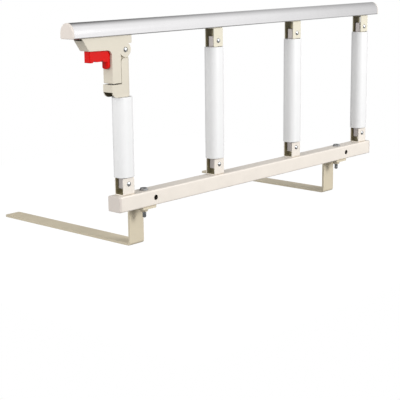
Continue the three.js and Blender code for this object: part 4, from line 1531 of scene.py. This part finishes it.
@dataclass(frozen=True)
class Studio:
    """Floor, light and camera. The world's zones are dark parts of an otherwise even light."""

    lens: float = 99.34
    yaw: float = 47.664  # from +Y towards +X, in degrees
    pitch: float = 12.535  # downwards
    roll: float = -0.664
    eye: tuple[float, float, float] = (-1.7513, -1.6684, 0.5499)
    floor_half: float = 0.7
    floor_gap: float = 0.0002
    floor_shadow: float = 0.12
    floor_glow: float = 1.07
    floor_matt: float = 0.85  # grey that takes the shadow
    floor_dark: float = 0.32  # grey that the part itself sees
    sky: float = 0.52  # strength for all but what shines
    gleam: float = 1.23  # strength that shiny surfaces see
    behind: tuple[float, float, float] = (0.74, 0.67, 0.0)  # level, from the camera past the part
    before: tuple[float, float, float] = (-0.6, -0.8, 0.0)  # level, back towards the camera
    behind_matt: Zone = Zone(0.35, 0.75, 0.5)  # behind, for all but what shines
    behind_shiny: Zone = Zone(0.25, 0.85)  # behind, for what shines
    behind_fade: Zone = Zone(0.62, 0.8, 0.55)  # how that one weakens along X
    before_shiny: Zone = Zone(0.6, 0.85, 0.8)  # low before the part, for what shines
    before_top: Zone = Zone(0.1, 0.4)  # heights where that one ends
    far_right: Zone = Zone(0.77, 0.9, 0.5)  # past the rail's right end
    matt_top: Zone = Zone(0.35, 0.8)  # heights where all zones end, for all but what shines
    below: Zone = Zone(-0.15, -0.9, 0.85)  # under the horizon, for what shines
    lamps: tuple[SoftBox, ...] = (
        SoftBox((0.8, -3.1, 1.2), 1.5, 79.0),
        SoftBox((-2.2, -0.2, 1.1), 1.4, 27.0),
    )

    def camera(self) -> None:
        """Sets the camera where the photograph was taken from."""
        yaw, pitch, roll = (math.radians(a) for a in (self.yaw, self.pitch, self.roll))
        ahead = Vector((math.sin(yaw) * math.cos(pitch), math.cos(yaw) * math.cos(pitch), -math.sin(pitch)))
        right = Vector((math.cos(yaw), -math.sin(yaw), 0.0))
        up = right.cross(ahead)
        rolled = right * math.cos(roll) + up * math.sin(roll)
        upright = up * math.cos(roll) - right * math.sin(roll)
        data = bpy.data.cameras.new("camera")
        data.lens = self.lens
        camera = bpy.data.objects.new("camera", data)
        bpy.context.scene.collection.objects.link(camera)
        turn = Matrix((rolled, upright, -ahead)).transposed().to_4x4()
        camera.matrix_world = Matrix.Translation(self.eye) @ turn
        bpy.context.scene.camera = camera

    def floor(self) -> None:
        """Lays a white floor that keeps a faint shadow."""
        made = bmesh.new()
        bmesh.ops.create_grid(made, x_segments=1, y_segments=1, size=self.floor_half)
        bmesh.ops.translate(made, verts=made.verts[:], vec=(0.0, 0.0, -self.floor_gap))
        floor = Solid(made).placed("floor")
        material = bpy.data.materials.new("floor")
        material.use_nodes = True
        graph = Graph(material.node_tree)
        camera = graph.node("ShaderNodeLightPath", {}, {}, "Is Camera Ray")
        dark = graph.node("ShaderNodeBsdfDiffuse", {}, {"Color": grey(self.floor_dark)})
        matt = graph.node("ShaderNodeBsdfDiffuse", {}, {"Color": grey(self.floor_matt)})
        white = graph.node("ShaderNodeEmission", {}, {"Color": grey(1.0), "Strength": self.floor_glow})
        seen = graph.node("ShaderNodeMixShader", {}, {0: 1.0 - self.floor_shadow, 1: matt, 2: white})
        mixed = graph.node("ShaderNodeMixShader", {}, {0: camera, 1: dark, 2: seen})
        graph.node("ShaderNodeOutputMaterial", {}, {"Surface": mixed})
        floor.data.materials.append(material)

    def world(self) -> None:
        """Shows white to the camera and lights the part evenly, but for the dark zones."""
        world = bpy.data.worlds.new("studio")
        world.use_nodes = True
        graph = Graph(world.node_tree)
        path = functools.partial(graph.node, "ShaderNodeLightPath", {}, {})
        way = graph.node("ShaderNodeTexCoord", {}, {}, "Generated")
        height = graph.node("ShaderNodeSeparateXYZ", {}, {0: way}, "Z")
        along = graph.node("ShaderNodeSeparateXYZ", {}, {0: way}, "X")
        toward = functools.partial(graph.node, "ShaderNodeVectorMath", {"operation": "DOT_PRODUCT"})
        back = toward({0: way, 1: self.behind}, "Value")
        front = toward({0: way, 1: self.before}, "Value")
        glossy = path("Is Glossy Ray")
        low = 1.0 - graph.zone(height, self.matt_top) * (1.0 - glossy)
        shiny = graph.zone(back, self.behind_shiny) * (1.0 - graph.zone(along, self.behind_fade))
        side = graph.zone(front, self.before_shiny) * (1.0 - graph.zone(height, self.before_top))
        shiny = shiny + (1.0 - shiny) * side
        dark = graph.zone(back, self.behind_matt) * (1.0 - glossy) + shiny * glossy
        dark = (dark + (1.0 - dark) * graph.zone(along, self.far_right)) * low
        above = 1.0 - graph.zone(height, self.below) * glossy
        strength = (glossy * (self.gleam - self.sky) + self.sky) * (1.0 - dark) * above
        camera = path("Is Camera Ray")
        shown = camera + (1.0 - camera) * strength
        light = graph.node("ShaderNodeBackground", {}, {"Color": grey(1.0), "Strength": shown})
        graph.node("ShaderNodeOutputWorld", {}, {"Surface": light})
        bpy.context.scene.world = world

    def light(self) -> None:
        """Hangs the soft boxes, which all point at the middle of the object."""
        aim = (CAD_BOX[0] + CAD_BOX[1]) / 2
        for index, box in enumerate(self.lamps):
            data = bpy.data.lights.new(f"soft_box_{index}", "AREA")
            data.shape, data.size, data.energy = "SQUARE", box.size, box.power
            lamp = bpy.data.objects.new(data.name, data)
            bpy.context.scene.collection.objects.link(lamp)
            turn = (aim - Vector(box.place)).to_track_quat("-Z", "Y").to_matrix().to_4x4()
            lamp.matrix_world = Matrix.Translation(box.place) @ turn

    def build(self) -> None:
        """Builds the stage."""
        bpy.context.scene.view_settings.view_transform = "Standard"
        self.camera()
        self.floor()
        self.world()
        self.light()


def main() -> None:
    """Builds the stage and every sub-assembly."""
    logging.basicConfig(level=logging.INFO, format="%(name)s: %(message)s")
    Studio().build()
    BaseFrame().build()
    Post().build()
    PostHead().build()
    Handrail().build()
    Latch().build()
    Trigger().build()


if __name__ == "__main__":
    main()
